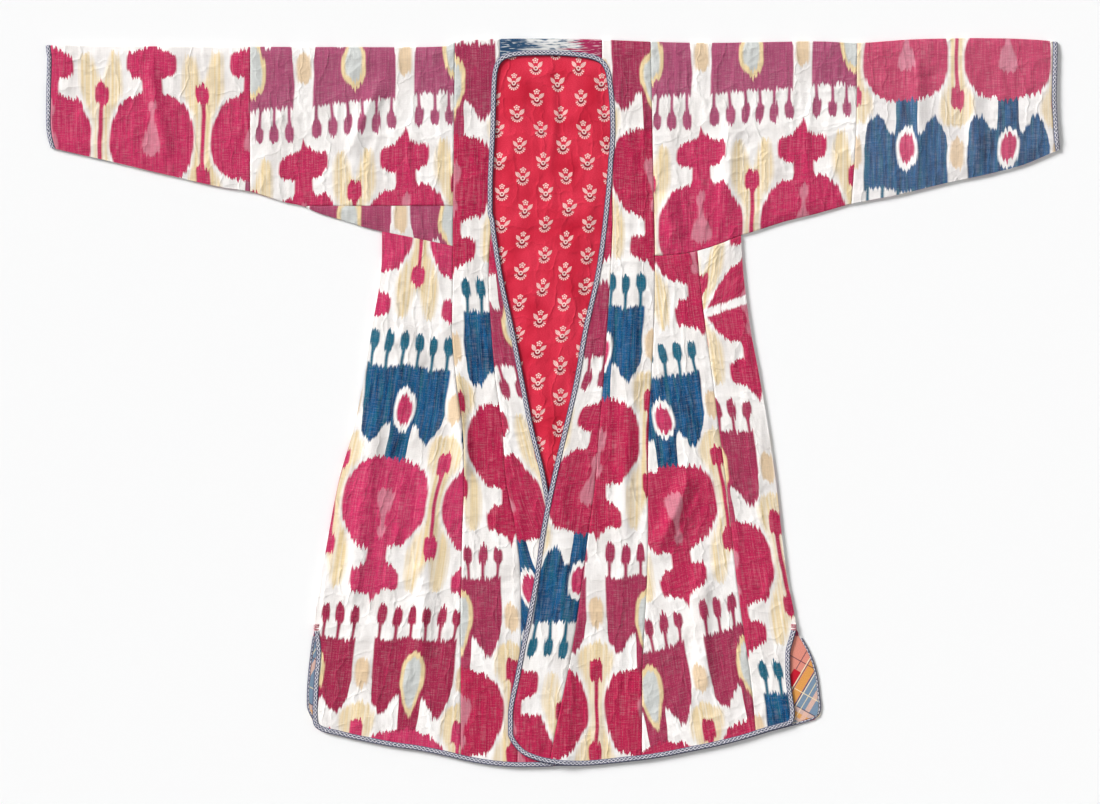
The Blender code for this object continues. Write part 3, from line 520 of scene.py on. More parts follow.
def mesh_of(name, points, faces, uv, dye, material):
    """A piece of the part with its cloth map, and with its dye where it has one."""
    mesh = bpy.data.meshes.new(name)
    mesh.from_pydata(points.tolist(), [], faces)
    corner = np.zeros(len(mesh.loops), dtype=np.int32)
    mesh.loops.foreach_get("vertex_index", corner)
    mesh.uv_layers.new(name="Cloth").data.foreach_set("uv", uv[corner].ravel())
    if dye is not None:
        colour = mesh.attributes.new("dye", "FLOAT_COLOR", "POINT")
        colour.data.foreach_set("color", dye.ravel())
    mesh.materials.append(material)
    mesh.shade_smooth()
    mesh.set_sharp_from_angle(angle=math.radians(SHARP_FROM))
    piece = bpy.data.objects.new(name, mesh)
    bpy.context.scene.collection.objects.link(piece)
    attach(piece, "root")
    return piece


def shell_faces(rows, columns):
    index = np.arange(rows * columns).reshape(rows, columns)
    a, b, c, d = index[:-1, :-1], index[:-1, 1:], index[1:, 1:], index[1:, :-1]
    outer = np.stack([a, b, c, d], axis=-1).reshape(-1, 4)
    inner = outer[:, ::-1] + rows * columns
    rim = np.concatenate([index[0], index[1:, -1], index[-1, -2::-1], index[-2:0:-1, 0]])
    follow = np.roll(rim, -1)
    wall = np.stack([follow, rim, rim + rows * columns, follow + rows * columns], axis=-1)
    return np.concatenate([outer, inner, wall]).tolist()


def rings(start, count, sides, flip=False):
    """The faces of a closed tube through rings of points that follow on."""
    faces = []
    for i in range(count - 1):
        for j in range(sides):
            a, b = start + i * sides + j, start + i * sides + (j + 1) % sides
            faces.append((a, b, b + sides, a + sides))
    last = start + (count - 1) * sides
    faces += [tuple(reversed(range(start, start + sides))), tuple(range(last, last + sides))]
    return [face[::-1] for face in faces] if flip else faces


class Cloth:
    """One piece of cloth as a thin closed shell over a grid."""

    def __init__(self, lines, height, wall=WALL, cell=FINE, seams=(), tone=0.5, fade=0.2):
        self.x, self.y = stations(*lines, cell)
        self.wall = wall
        under = height(self.x, self.y)
        over = under + wall * rolled(self.x, self.y, seams)
        self.inner = np.stack([self.x, self.y, under], axis=2)
        self.outer = np.stack([self.x, self.y, over], axis=2)
        self.along = self.y.copy()
        self.tone, self.fade = tone, fade
        self.bare = np.zeros_like(self.x)

    def grow(self, outer, inner, along):
        self.outer = np.concatenate([self.outer, outer[None]])
        self.inner = np.concatenate([self.inner, inner[None]])
        self.along = np.concatenate([self.along, along[None]])
        self.bare = np.concatenate([self.bare, np.zeros((1, self.x.shape[1]))])

    def turn_over(self, steps=6):
        """Carries the cloth round the fold at its top edge, down to the back layer."""
        outer, inner = self.outer[-1], self.inner[-1]
        radius = outer[:, 2] / 2
        least = np.maximum(inner[:, 2] - radius, 0.0001)
        top = self.along[-1]
        for angle in np.linspace(0, math.pi, steps + 1)[1:]:
            rim, core = outer.copy(), inner.copy()
            rim[:, 1] += radius * math.sin(angle)
            rim[:, 2] = radius + radius * math.cos(angle)
            core[:, 1] += least * math.sin(angle)
            core[:, 2] = radius + least * math.cos(angle)
            self.grow(rim, core, top + radius * angle)
        self.inner[-1, :, 2] = self.wall

    def run_back(self, rows):
        """Lays the cloth on the surface below the fold, through the given rows in turn."""
        top = self.along[-1]
        start = self.outer[-1, :, 1].copy()
        for row in rows:
            rim, core = row.copy(), row.copy()
            rim[:, 2], core[:, 2] = 0.0, self.wall
            self.grow(rim, core, top + start - row[:, 1])

    def build(self, name, node, material, cut):
        """Makes the piece in place of its node, and measures it laid flat."""
        rows, columns = self.outer.shape[:2]
        points = np.concatenate([self.outer.reshape(-1, 3), self.inner.reshape(-1, 3)])
        points[:, :2] += SHIFT
        across, along = cut(self.outer[..., 0], self.along)
        uv = np.stack([across, along], axis=2).reshape(-1, 2)
        tone = np.full(self.bare.size, self.tone)
        dye = np.stack([tone, self.bare.ravel(), np.full_like(tone, self.fade), np.ones_like(tone)], axis=1)
        self.object = mesh_of(name, points, shell_faces(rows, columns), np.tile(uv, (2, 1)),
                              np.tile(dye, (2, 1)), material)
        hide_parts(node)
        edges = np.linalg.norm(np.diff(self.outer, axis=1), axis=2).sum(axis=1)
        lengths = np.linalg.norm(np.diff(self.outer, axis=0), axis=2).sum(axis=0)
        a = self.outer[1:, 1:] - self.outer[:-1, :-1]
        b = self.outer[1:, :-1] - self.outer[:-1, 1:]
        area = float(np.linalg.norm(np.cross(a, b), axis=2).sum() / 2)
        width, length = float(edges.max()), float(lengths.max())
        self.flat = (round(width, 3), round(length, 3), round(min(area, 0.999 * width * length), 4))
        return self.object

    def edge(self, side):
        """The upper points of one edge of the grid, before any roll."""
        z = self.inner[..., 2] + self.wall
        top = np.stack([self.outer[..., 0], self.outer[..., 1], z], axis=2)[:self.x.shape[0]]
        return {"left": top[:, 0], "right": top[:, -1], "bottom": top[0]}[side]


# Half widths of each dyed shape along one row of the repeat, from the finger tips
FINGER = ((0, 0), (2.5, 3.2), (7, 4.5), (13, 4.6), (17, 3.4), (20, 1.7), (32, 1.5), (35, 1.6), (38, 0),
          (267, 0))
LOBES = ((0, 137), (8.5, 136), (10.5, 112), (12, 91), (16, 92), (22, 102), (28, 108), (34, 104), (39, 93),
         (42, 78), (60, 78))
OVAL_RIM = ((0, 0), (42, 0), (47, 4), (54, 9.5), (64, 12.8), (76, 13), (88, 9.5), (100, 5), (112, 0.6),
            (115, 0), (267, 0))
OVAL = ((0, 0), (49, 0), (54, 4), (62, 8.2), (74, 8.8), (86, 6.4), (98, 2.4), (105, 0), (267, 0))
RING = ((0, 0), (54, 0), (58, 5), (66, 9.8), (76, 11), (86, 9.8), (94, 5), (98, 0), (267, 0))
SPOT = ((0, 0), (61, 0), (65, 4.5), (71, 7.4), (77, 8), (84, 6.8), (89, 3.6), (92, 0), (267, 0))
POMEGRANATE = ((0, 0), (122, 0), (125, 16), (128, 27), (134, 34), (146, 40), (160, 42.5), (176, 42),
               (190, 37), (199, 32), (206, 26), (210, 15), (213, 9.5), (224, 9.5), (227, 15), (231, 22),
               (238, 24.5), (247, 24), (252, 18), (255, 9), (259, 4), (264, 1.5), (267, 0))
MARK = ((0, 0), (150, 0), (153, 6), (160, 9.5), (168, 8), (176, 4.8), (183, 2.4), (191, 2), (195, 4.4),
        (201, 4), (205, 0), (267, 0))
STICK = ((0, 0), (113, 0), (116, 5), (121, 7), (132, 6.8), (136, 4), (139, 2), (198, 2), (202, 5.5), (207, 7),
         (216, 6.6), (220, 3), (222, 0), (267, 0))
BLOB = ((0, 0), (54, 0), (59, 5), (66, 6.8), (80, 6), (85, 2), (88, 0), (267, 0))
HALO = ((0, 0), (94, 0), (99, 6), (106, 14), (116, 17.5), (130, 14), (142, 9), (160, 7), (176, 7), (190, 10),
        (204, 17), (222, 21), (240, 20), (251, 17), (255, 0), (267, 0))
CALYX_GAP = ((0, 0), (219, 0), (225, 2.5), (236, 5.5), (246, 8.5), (254, 11), (267, 11))

# Materials, with colours in steps of 0 to 255
ROUGH_CLOTH = 0.75
SHEEN = 0.06
WHITE = (248, 244, 241)
SHADED_WHITE = (226, 220, 216)
OVAL_WHITE = (205, 207, 204)
WASHED = (210, 206, 222)
YELLOW = (231, 207, 160)
TAN = (221, 188, 142)
MAGENTA = (196, 50, 96)
DEEP_MAGENTA = (170, 14, 58)
MAUVE = (168, 84, 118)
DEEP_MAUVE = (160, 32, 70)
PALE_PINK = (214, 158, 170)
BLUE = (20, 88, 136)
NAVY = (12, 46, 84)
TEAL = (30, 98, 122)
OCHRE = (222, 158, 74)
SALMON = (222, 142, 126)
PEACH = (226, 184, 166)
CREAM = (236, 216, 176)
GREY_BLUE = (122, 144, 166)
PLUM = (96, 64, 78)
DUSK = (72, 66, 90)


def linear(colour):
    """A colour of 0 to 255 steps, as the shader wants it."""
    share = np.array(colour) / 255
    return tuple(np.where(share < 0.04045, share / 12.92, ((share + 0.055) / 1.055) ** 2.4).tolist())


class Value:
    """A number in a material's graph. Each sum made with it adds a node."""

    def __init__(self, graph, socket):
        self.graph, self.socket = graph, socket

    def __add__(self, other):
        return self.graph.math("ADD", self, other)

    def __sub__(self, other):
        return self.graph.math("SUBTRACT", self, other)

    def __rsub__(self, other):
        return self.graph.math("SUBTRACT", other, self)

    def __mul__(self, other):
        return self.graph.math("MULTIPLY", self, other)

    def __truediv__(self, other):
        return self.graph.math("DIVIDE", self, other)

    def __abs__(self):
        return self.graph.math("ABSOLUTE", self)

    def held(self):
        """The same number, kept from 0 to 1."""
        self.socket.node.use_clamp = True
        return self


class Graph:
    """The nodes of one material."""

    def __init__(self, name, roughness):
        self.material = bpy.data.materials.new(name)
        self.material.use_nodes = True
        self.nodes = self.material.node_tree.nodes
        self.links = self.material.node_tree.links
        self.shader = self.nodes["Principled BSDF"]
        self.shader.inputs["Roughness"].default_value = roughness
        self.shader.inputs["Specular IOR Level"].default_value = SHEEN

    def node(self, kind, **settings):
        node = self.nodes.new("ShaderNode" + kind)
        for name, value in settings.items():
            setattr(node, name, value)
        return node

    def put(self, socket, value):
        """Gives a socket a number, a colour or another node's output."""
        if isinstance(value, Value):
            value = value.socket
        if isinstance(value, bpy.types.NodeSocket):
            self.links.new(value, socket)
        else:
            socket.default_value = (*linear(value), 1.0) if isinstance(value, tuple) else value

    def math(self, operation, *values):
        node = self.node("Math", operation=operation)
        for socket, value in zip(node.inputs, values):
            self.put(socket, value)
        return Value(self, node.outputs[0])

    def most(self, value, *others):
        for other in others:
            value = self.math("MAXIMUM", value, other)
        return value

    def parts(self, socket, kind="SeparateColor"):
        node = self.node(kind)
        self.links.new(socket, node.inputs[0])
        return [Value(self, part) for part in node.outputs]

    def noise(self, x, y, detail=1.0):
        """Two different noises of the same place, about 0.5."""
        place = self.node("CombineXYZ")
        self.put(place.inputs[0], x)
        self.put(place.inputs[1], y)
        node = self.node("TexNoise", noise_dimensions="2D")
        self.put(node.inputs["Scale"], 1.0)
        self.put(node.inputs["Detail"], detail)
        self.put(node.inputs["Vector"], place.outputs[0])
        return self.parts(node.outputs["Color"])[:2]

    def speck(self, value):
        """A random number for each whole step of a value."""
        node = self.node("TexWhiteNoise", noise_dimensions="1D")
        self.put(node.inputs["W"], self.math("FLOOR", value))
        return Value(self, node.outputs["Value"])

    def chart(self, value, points, reach=50):
        """A charted half width at each place along the repeat."""
        node = self.node("FloatCurve")
        span = points[-1][0]
        line = node.mapping.curves[0].points
        node.mapping.extend = "HORIZONTAL"
        while len(line) < len(points):
            line.new(0.5, 0.5)
        for point, (along, width) in zip(line, points):
            point.location = (along / span, width / reach)
            point.handle_type = "AUTO_CLAMPED"
        node.mapping.update()
        self.put(node.inputs["Value"], value / span)
        return Value(self, node.outputs[0]) * reach

    def within(self, width, off, soft):
        """1 inside a half width and 0 outside, with a soft edge; nothing where the width is nothing."""
        bias = self.math("MINIMUM", width, 0.5) if isinstance(width, Value) else 0.5
        return ((width - off) * (1 / soft) + bias).held()

    def mix(self, under, over, share):
        node = self.node("Mix", data_type="RGBA")
        for k, value in ((0, share), (6, under), (7, over)):
            self.put(node.inputs[k], value)
        return node.outputs[2]

    def scaled(self, colour, by):
        node = self.node("VectorMath", operation="SCALE")
        self.put(node.inputs[0], colour)
        self.put(node.inputs["Scale"], by)
        return node.outputs[0]

    def cloth_place(self, steps=1 / UNIT):
        """Where a point lies across and along its cloth, in the given steps to a metre."""
        node = self.node("UVMap", uv_map="Cloth")
        u, v, _ = self.parts(node.outputs[0], "SeparateXYZ")
        return u * steps, v * steps

    def crinkle(self, u, v):
        """Soft unevenness, with sharp small creases that run mostly down the cloth."""
        soft, bend = self.noise(u * 0.07, v * 0.05, 3.0)
        turn = bend * 0.7
        down, _ = self.noise(u * 0.045 + turn, v * 0.012, 0.5)
        over, _ = self.noise(u * 0.013, v * 0.045 + turn, 0.5)
        height = soft * 1.5
        for line, amount in ((down, 0.8), (over, 0.6)):
            ridge = (1.0 - abs(line - 0.5) * 9.0).held()
            height = self.math("POWER", ridge, 2.0) * amount + height
        return height

    def finish(self, colour, height, strength, depth):
        """Gives the shader its colour and its raised grain, and hands out the material."""
        node = self.node("Bump")
        self.put(node.inputs["Strength"], strength)
        self.put(node.inputs["Distance"], depth)
        self.put(node.inputs["Height"], height)
        self.put(self.shader.inputs["Normal"], node.outputs[0])
        self.put(self.shader.inputs["Base Color"], colour)
        return self.material


def ikat():
    """Warp-dyed cloth in one half-drop repeat. Its dye attribute holds tone, bareness and fade."""
    g = Graph("ikat_cloth", ROUGH_CLOTH)
    u, v = g.cloth_place()
    tone, bare, fade = g.parts(g.node("Attribute", attribute_name="dye").outputs["Color"])
    # Warp bundles slip along their length before weaving, so shapes are ragged along them and clean across
    sway_u, sway_v = g.noise(u * 0.028, v * 0.022)
    slip, slip_more = g.noise(u * 0.46, v * 0.007, 0.0)
    bundle, thread = g.speck(u * 0.75), g.speck(u * 2.1)
    slipped = (slip - 0.5) * 7.0 + v + (bundle - 0.5) * 2.6 + (thread - 0.5) * 2.2 + (sway_v - 0.5) * 10.0
    rows = slipped / ROW
    t = g.math("FRACT", rows) * ROW
    blue_row = g.math("GREATER_THAN", g.math("FRACT", rows * 0.5), 0.5)
    place = blue_row * 0.5 + ((sway_u - 0.5) * 5.0 + u) / COLUMN

    def off_column(offset):
        return abs((g.math("FRACT", place + (0.5 + offset)) - 0.5) * COLUMN)

    def shape(table, off, soft):
        return g.within(g.chart(t, table), off, soft)

    main, other = off_column(0.0), off_column(0.5)
    colour = g.mix(WHITE, SHADED_WHITE, (sway_v * 2.2 - 0.8).held())
    halo = shape(HALO, other, 5.0) * (1.0 - shape(CALYX_GAP, other, 5.0))
    colour = g.mix(colour, YELLOW, halo * (slip_more * 1.1 + 0.22).held())
    colour = g.mix(colour, TAN, shape(BLOB, other, 3.0) * 0.8)
    magenta = g.mix(DEEP_MAGENTA, MAGENTA, tone)
    colour = g.mix(colour, magenta, shape(STICK, other, 1.6))

    vat, vat_more = g.noise(u * 0.22, v * 0.022, 2.0)
    indigo = g.mix(NAVY, BLUE, (vat * 3.0 - 0.85).held())
    indigo = g.mix(indigo, TEAL, (vat_more * 3.5 - 1.7).held())
    mauve = g.mix(DEEP_MAUVE, MAUVE, fade)
    block_dye = g.mix(mauve, indigo, blue_row)
    below = ((t - 33.0) * 0.5 + 0.5).held()
    above = ((g.chart(main, LOBES, 150) - t) * 0.4 + 0.5).held()
    colour = g.mix(colour, block_dye, below * above * g.within(41.5, main, 1.6))

    rim, ring = shape(OVAL_RIM, main, 2.0), shape(RING, main, 2.0)
    amulet = g.mix(g.mix(block_dye, YELLOW, rim), OVAL_WHITE, shape(OVAL, main, 2.2))
    eye = g.mix(g.mix(block_dye, WHITE, ring), MAGENTA, shape(SPOT, main, 2.0))
    colour = g.mix(colour, g.mix(amulet, eye, blue_row), g.most(rim, ring))

    off_finger = abs(g.math("MODULO", main, 15.0) - 7.5)
    finger = shape(FINGER, off_finger, 1.6) * g.math("LESS_THAN", main, 45.0)
    colour = g.mix(colour, g.mix(mauve, TEAL, blue_row), finger)
    colour = g.mix(colour, magenta, shape(POMEGRANATE, main, 2.0))
    colour = g.mix(colour, PALE_PINK, shape(MARK, main, 2.0) * 0.5)
    ragged = bundle * 1.95 + (slip * 2.6 + 0.78)
    colour = g.mix(colour, WHITE, (bare * ragged - 0.9).held())
    colour = g.mix(colour, WASHED, (fade - SLEEVE_FADE).held())

    # Uneven dye, single threads and flecks of the pale weft
    dyed = (1.0 - g.parts(colour)[1] * 1.15).held()
    streak, worn = g.noise(u * 0.9, v * 0.035, 2.0)
    pick, pale = g.noise(u * 0.09, v * 1.3, 2.0)
    uneven = (thread - 0.5) * 0.16 + ((streak - 0.5) + (pick - 0.5) * 0.8)
    colour = g.scaled(colour, uneven * (dyed * 0.5 + 0.1) + 1.0)
    flecks = ((g.noise(u * 0.65, v * 1.9)[0] - 0.62) * 4.0).held()
    rubbed = ((worn + pale) * 2.6 - 2.55).held()
    colour = g.mix(colour, SHADED_WHITE, g.most(flecks, rubbed * 0.7) * dyed * 0.22)
    weave = g.math("SINE", u * 16.0) * g.math("SINE", v * 13.0)
    return g.finish(colour, weave * 0.05 + pick * 0.35 + g.crinkle(u, v), 0.8, 0.0012)


def streaked():
    """The pieced strip at the neck: blue, then white, then mauve, with its warp across the back."""
    g = Graph("streaked_cloth", ROUGH_CLOTH)
    u, v = g.cloth_place()
    wave, more = g.noise(u * 0.03, v * 0.7, 2.0)
    place = (g.speck(v * 1.1) - 0.5) * 16.0 + u + (wave - 0.5) * 46.0
    dash, dash_more = g.noise(u * 0.10, v * 0.7, 2.0)
    pale = g.mix((214, 213, 211), (74, 98, 122), (dash * 7.0 - 3.6).held())
    blue = g.mix((44, 74, 104), (196, 200, 202), (dash_more * 8.0 - 4.6).held())
    rose = g.mix((160, 44, 84), (216, 176, 186), (dash_more * 7.0 - 3.9).held())
    left = ((place + 19.0) * -0.12 + 0.5).held()
    right = ((place - 29.0) * 0.12 + 0.5).held()
    colour = g.mix(g.mix(pale, blue, left), rose, right)
    return g.finish(g.scaled(colour, (more - 0.5) * 0.6 + 1.0), wave, 0.4, 0.0005)


def lining():
    """Printed cotton: a rosette over two leaves and a crescent, in rows that step sideways."""
    g = Graph("printed_lining", 0.6)
    u, v = g.cloth_place()
    sway, sway_more = g.noise(u * 0.03, v * 0.03)
    x = (sway - 0.5) * 4.0 + u
    y = (sway_more - 0.5) * 4.0 + v
    row = g.math("FLOOR", y / SPRIG_ROW)
    down = y - row * SPRIG_ROW

    def sprig(rows_up):
        """The printed motif of one row, as its white lines and its dark shade."""
        low = down + (SPRIG_ROW * rows_up - 9.0)
        moved = x - (row * SPRIG_STEP - SPRIG_STEP * rows_up)
        side = g.math("FRACT", moved / SPRIG_COLUMN) * SPRIG_COLUMN - SPRIG_COLUMN / 2

        def off_from(level):
            under = low - level
            return g.math("SQRT", side * side + under * under)

        def lobes(level, count):
            return g.math("COSINE", g.math("ARCTAN2", side, low - level) * count)

        bloom = off_from(-6.3)
        petals = g.within(lobes(-6.3, 5.0) * -0.5 + 2.5, bloom, 0.6)
        rosette = (petals - g.within(0.35, abs(bloom - 1.25), 0.5)).held()
        leaf_x, leaf_y = abs(side) - 4.4, low + 1.9
        along = leaf_x * 0.64 + leaf_y * -0.77
        away = abs(leaf_x * 0.77 + leaf_y * 0.64)
        leaf = g.within(g.most(along * along * -0.1 + 1.75, 0.0), away, 0.6)
        leaf = (leaf - g.within(0.35, abs(away - 0.65), 0.4) * 0.45).held()
        eye, rim = off_from(1.6), off_from(2.5)
        bead = (g.within(2.2, eye, 0.6) - g.within(1.05, eye, 0.6)).held()
        below = g.math("GREATER_THAN", low, 2.4)
        dots = g.within(0.75, abs(rim - 5.2), 0.6) * (lobes(2.5, 15.0) * 1.4 + 0.9).held()
        horn = g.within(0.3, abs(rim - 3.9), 0.5)
        lines = g.most(rosette, leaf, bead, g.most(dots, horn) * below)
        return lines, g.most(g.within(3.9, rim, 0.8) * below, g.within(1.2, eye, 0.6))

    (upper, upper_shade), (lower, lower_shade) = sprig(0), sprig(1)
    cloth, pick = g.noise(u * 0.8, v * 1.3, 3.0)
    colour = g.mix((200, 32, 57), (232, 68, 92), cloth)
    colour = g.mix(colour, (184, 24, 48), (sway * 1.6 - 0.5).held())
    colour = g.mix(colour, (104, 12, 34), g.most(upper_shade, lower_shade) * 0.7)
    colour = g.mix(colour, (246, 222, 214), g.most(upper, lower) * (pick * 0.6 + 0.55).held())
    return g.finish(colour, cloth * 0.2 + g.crinkle(u, v), 0.8, 0.0012)


def braid():
    """Flat woven edging: two pale strands that cross like a chain, on a dark ground with lighter borders."""
    g = Graph("woven_braid", 0.7)
    along, across = g.cloth_place(1 / MM)
    middle = abs(across - TRIM_WIDTH / MM / 2)
    wander, worn = g.noise(along * 0.08, across * 0.4, 2.0)
    swing = abs(g.math("SINE", wander * 1.6 + along / 2.1)) * 1.95
    strand = g.within(0.60, abs(middle - swing), 0.4)
    edge = g.within(0.35, abs(middle - 3.05), 0.5)
    colour = g.mix(g.mix((44, 46, 70), (112, 116, 140), worn), (176, 176, 192), edge * 0.6)
    colour = g.mix(colour, g.mix((252, 249, 250), (214, 212, 222), worn), strand)
    colour = g.mix(colour, (58, 60, 84), ((middle - 3.4) * 2.5).held())
    return g.finish(colour, g.math("SINE", (along + middle) * 4.2) * 0.25 + strand, 0.7, 0.0006)


def thread():
    """Twisted red and pink sewing thread."""
    g = Graph("tack_thread", 0.6)
    u, v = g.cloth_place()
    faded, lit = g.noise(u * 0.5, v * 1.6, 2.0)
    return g.finish(g.mix((170, 30, 66), (236, 184, 192), (faded * 3.0 - 1.25).held()), lit, 0.5, 0.0003)


def plaid():
    """Checked cotton facing: bands of pink, ochre and grey blue, with thin lines and one red patch."""
    g = Graph("checked_cotton", 0.8)
    u, v = g.cloth_place()
    a = u * 0.40 + v * -0.72
    b = u * 0.78 + v * 0.46

    def band(place, at, half):
        return g.math("LESS_THAN", abs(place - at), half)

    colour = g.mix(SALMON, GREY_BLUE, g.math("GREATER_THAN", b, 11.5))
    colour = g.mix(colour, PEACH, g.math("LESS_THAN", a, -20.0) * 0.75)
    for place, at, half, paint in (
            (b, 7.2, 3.4, OCHRE), (a, -26.0, 2.0, OCHRE), (a, -33.0, 2.6, GREY_BLUE), (b, 24.0, 2.2, PEACH),
            (b, -4.0, 0.4, PLUM), (b, 11.5, 0.5, DUSK), (a, -20.0, 0.4, DUSK), (a, -8.0, 0.4, CREAM),
            (a, 14.0, 0.4, PLUM), (b, 18.0, 0.4, CREAM), (b, 2.9, 0.45, PLUM), (b, 1.9, 0.5, (240, 224, 196)),
            (b, 12.7, 0.5, (240, 224, 196))):
        colour = g.mix(colour, paint, band(place, at, half) * 0.85)
    colour = g.mix(colour, (196, 34, 52), band(a, -1.0, 7.0) * band(b, -2.2, 3.6))
    cloth, _ = g.noise(u * 1.2, v * 1.2, 3.0)
    return g.finish(g.scaled(colour, (cloth - 0.5) * 0.5 + 1.0), cloth, 0.4, 0.0005)


IKAT, STREAKED, LINING, BRAID, PLAID, THREAD = ikat(), streaked(), lining(), braid(), plaid(), thread()

# What centring the solids on the origin moved them by
SHIFT = np.array([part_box("sleeve_left")[0].x - ELBOW_LEFT - HALF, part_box("gore_left")[1].y - GORE_LEFT_TIP])

# Pieces, first where each one lay on the bolt
CUT_FRONT_LEFT = warp([(0, 455), (278, 451.5), (340, 454), (430, 460), (700, 461)], 11)
CUT_FRONT_RIGHT = warp([(0, 652), (280, 655), (430, 648.5), (700, 646.5)], 3, pitch=0.989)
CUT_SIDE_LEFT = warp([(250, 472), (340, 463.5), (414, 454.75), (500, 436), (570, 426), (617, 419.4),
                      (675, 412.5), (740, 405.5)], 72, lean=((340, -0.12), (610, -0.04)))
CUT_SIDE_RIGHT = warp([(250, 590), (350, 603), (418, 612), (470, 617.4), (510, 624), (576, 632), (620, 640.5),
                       (694, 651.6), (760, 662)], 86, lean=((345, 0.15), (610, 0.29)))
GORE_WARP = warp([(250, 688), (405, 709), (475, 717.5), (560, 731), (670, 749), (760, 763)], 399,
                 pitch=1.02, lean=((400, 0.0), (660, 0.03)))
CUT_GORE_RIGHT = warp([(100, 590), (300, 574), (340, 569), (378, 566), (420, 552), (493, 538), (530, 534),
                       (580, 529), (640, 520), (700, 512)], 390, up=True)
CUT_GORE_LEFT = warp([(200, 495), (300, 509), (325, 515), (385, 525.5), (500, 553), (545, 568), (590, 581),
                      (650, 596), (760, 620)], 399, up=True)
CUT_SLEEVE_LEFT = warp([(0, 354.5)], 135, up=True, lean=((0, 0.10),))
CUT_FOREARM_LEFT = warp([(0, 50)], 307, up=True, pitch=0.99)
CUT_SLEEVE_RIGHT = warp([(0, 752)], 124, up=True, lean=((0, 0.07),))
CUT_FOREARM_RIGHT = warp([(0, 957)], 224 + ROW, up=True)
CUT_UNDERARM = warp([(0, 350)], 147)
CUT_BACK = warp([(0, 553)], 60)
CUT_NECK_BAND = warp([(0, 548)], 40)
CUT_LINING = warp([(0, 499.6), (205, 499.6), (360, 477), (480, 466)], 83.3)
CUT_FACING_LEFT = warp([(0, 285)], 662, start=0)
CUT_FACING_RIGHT = warp([(0, 796)], 678, start=0)
RESIST = charted([(698, 316), (750, 298)])
RESIST_REACH = 0.013


def cut_side_gore(x, y):
    """Above the resist line the gore's motif is the mirror of what lies below it."""
    line = np.interp(x, *RESIST.T)
    return GORE_WARP(x, line - np.abs(y - line))


def cut_cuff(line, sign):
    """The braid of a cuff is measured along the cuff and across from its edge."""
    return lambda x, y: (y + 2, (x - line(y)) * sign)


def sleeve_low(x):
    return np.where(x < UNDERARM_TIP, LOW_LEFT_LINE(x), UNDERARM_SEAM + HALF)


def tube(lines, seams, tone, fade):
    """Cloth folded at its top line, so that front and back are one piece."""
    *sides, top = lines
    piece = Cloth((*sides, shifted(top, -FOLD_REACH)), front_height, seams=seams, tone=tone, fade=fade)
    under = piece.outer[:-1][::-3]
    piece.turn_over()
    piece.run_back([*under[:-1], piece.outer[0]])
    return piece


def shoulder(lines, height, tone):
    """Cloth that turns over the shoulder and ends on the back layer."""
    piece = Cloth((*lines, shifted(TOP_LINE, -FOLD_REACH)), height, seams=("left", "right"), tone=tone)
    piece.turn_over()
    piece.run_back([piece.outer[-1] - (0, SHOULDER_RETURN, 0)])
    return piece


def inside_corner(outward):
    return lambda x: HEM_BACK_LINE(x + outward) + FACING_CLEAR


made = {}
ACROSS = ("left", "right")
for name, lines, cut, tone, fade, seams in (
        ("sleeve_left", (steady(ELBOW_LEFT + HALF), shifted(SEAM_LEFT, -HALF), sleeve_low, TOP_LINE),
         CUT_SLEEVE_LEFT, 0.75, SLEEVE_FADE, (*ACROSS, "bottom")),
        ("forearm_left", (shifted(CUFF_LEFT_LINE, TRIM_WIDTH + GAP), steady(ELBOW_LEFT - HALF), LOW_LEFT_LINE,
                          TOP_LINE),
         CUT_FOREARM_LEFT, 0.9, SLEEVE_FADE, ACROSS),
        ("sleeve_right", (shifted(SEAM_RIGHT, HALF), shifted(ELBOW_RIGHT_LINE, -HALF),
                          shifted(LOW_RIGHT_LINE, HALF), TOP_LINE),
         CUT_SLEEVE_RIGHT, 0.8, SLEEVE_FADE, (*ACROSS, "bottom")),
        ("forearm_right", (shifted(ELBOW_RIGHT_LINE, HALF), shifted(CUFF_RIGHT_LINE, -TRIM_WIDTH - GAP),
                           LOW_RIGHT_LINE, TOP_LINE),
         CUT_FOREARM_RIGHT, 0.75, WASHED_FADE, ACROSS)):
    made[name] = tube(lines, seams, tone, fade)
    made[name].build(name + "_cloth", name, IKAT, cut)
for name, lines, cut in (
        ("left", (CUFF_LEFT_LINE, shifted(CUFF_LEFT_LINE, TRIM_WIDTH), LOW_LEFT_LINE, TOP_LINE),
         cut_cuff(CUFF_LEFT_LINE, 1)),
        ("right", (shifted(CUFF_RIGHT_LINE, -TRIM_WIDTH), CUFF_RIGHT_LINE, LOW_RIGHT_LINE, TOP_LINE),
         cut_cuff(CUFF_RIGHT_LINE, -1))):
    cuff = tube(lines, ACROSS, 0.5, SLEEVE_FADE)
    cuff.build(f"cuff_{name}_braid", f"trim_cuff_{name}", BRAID, cut)

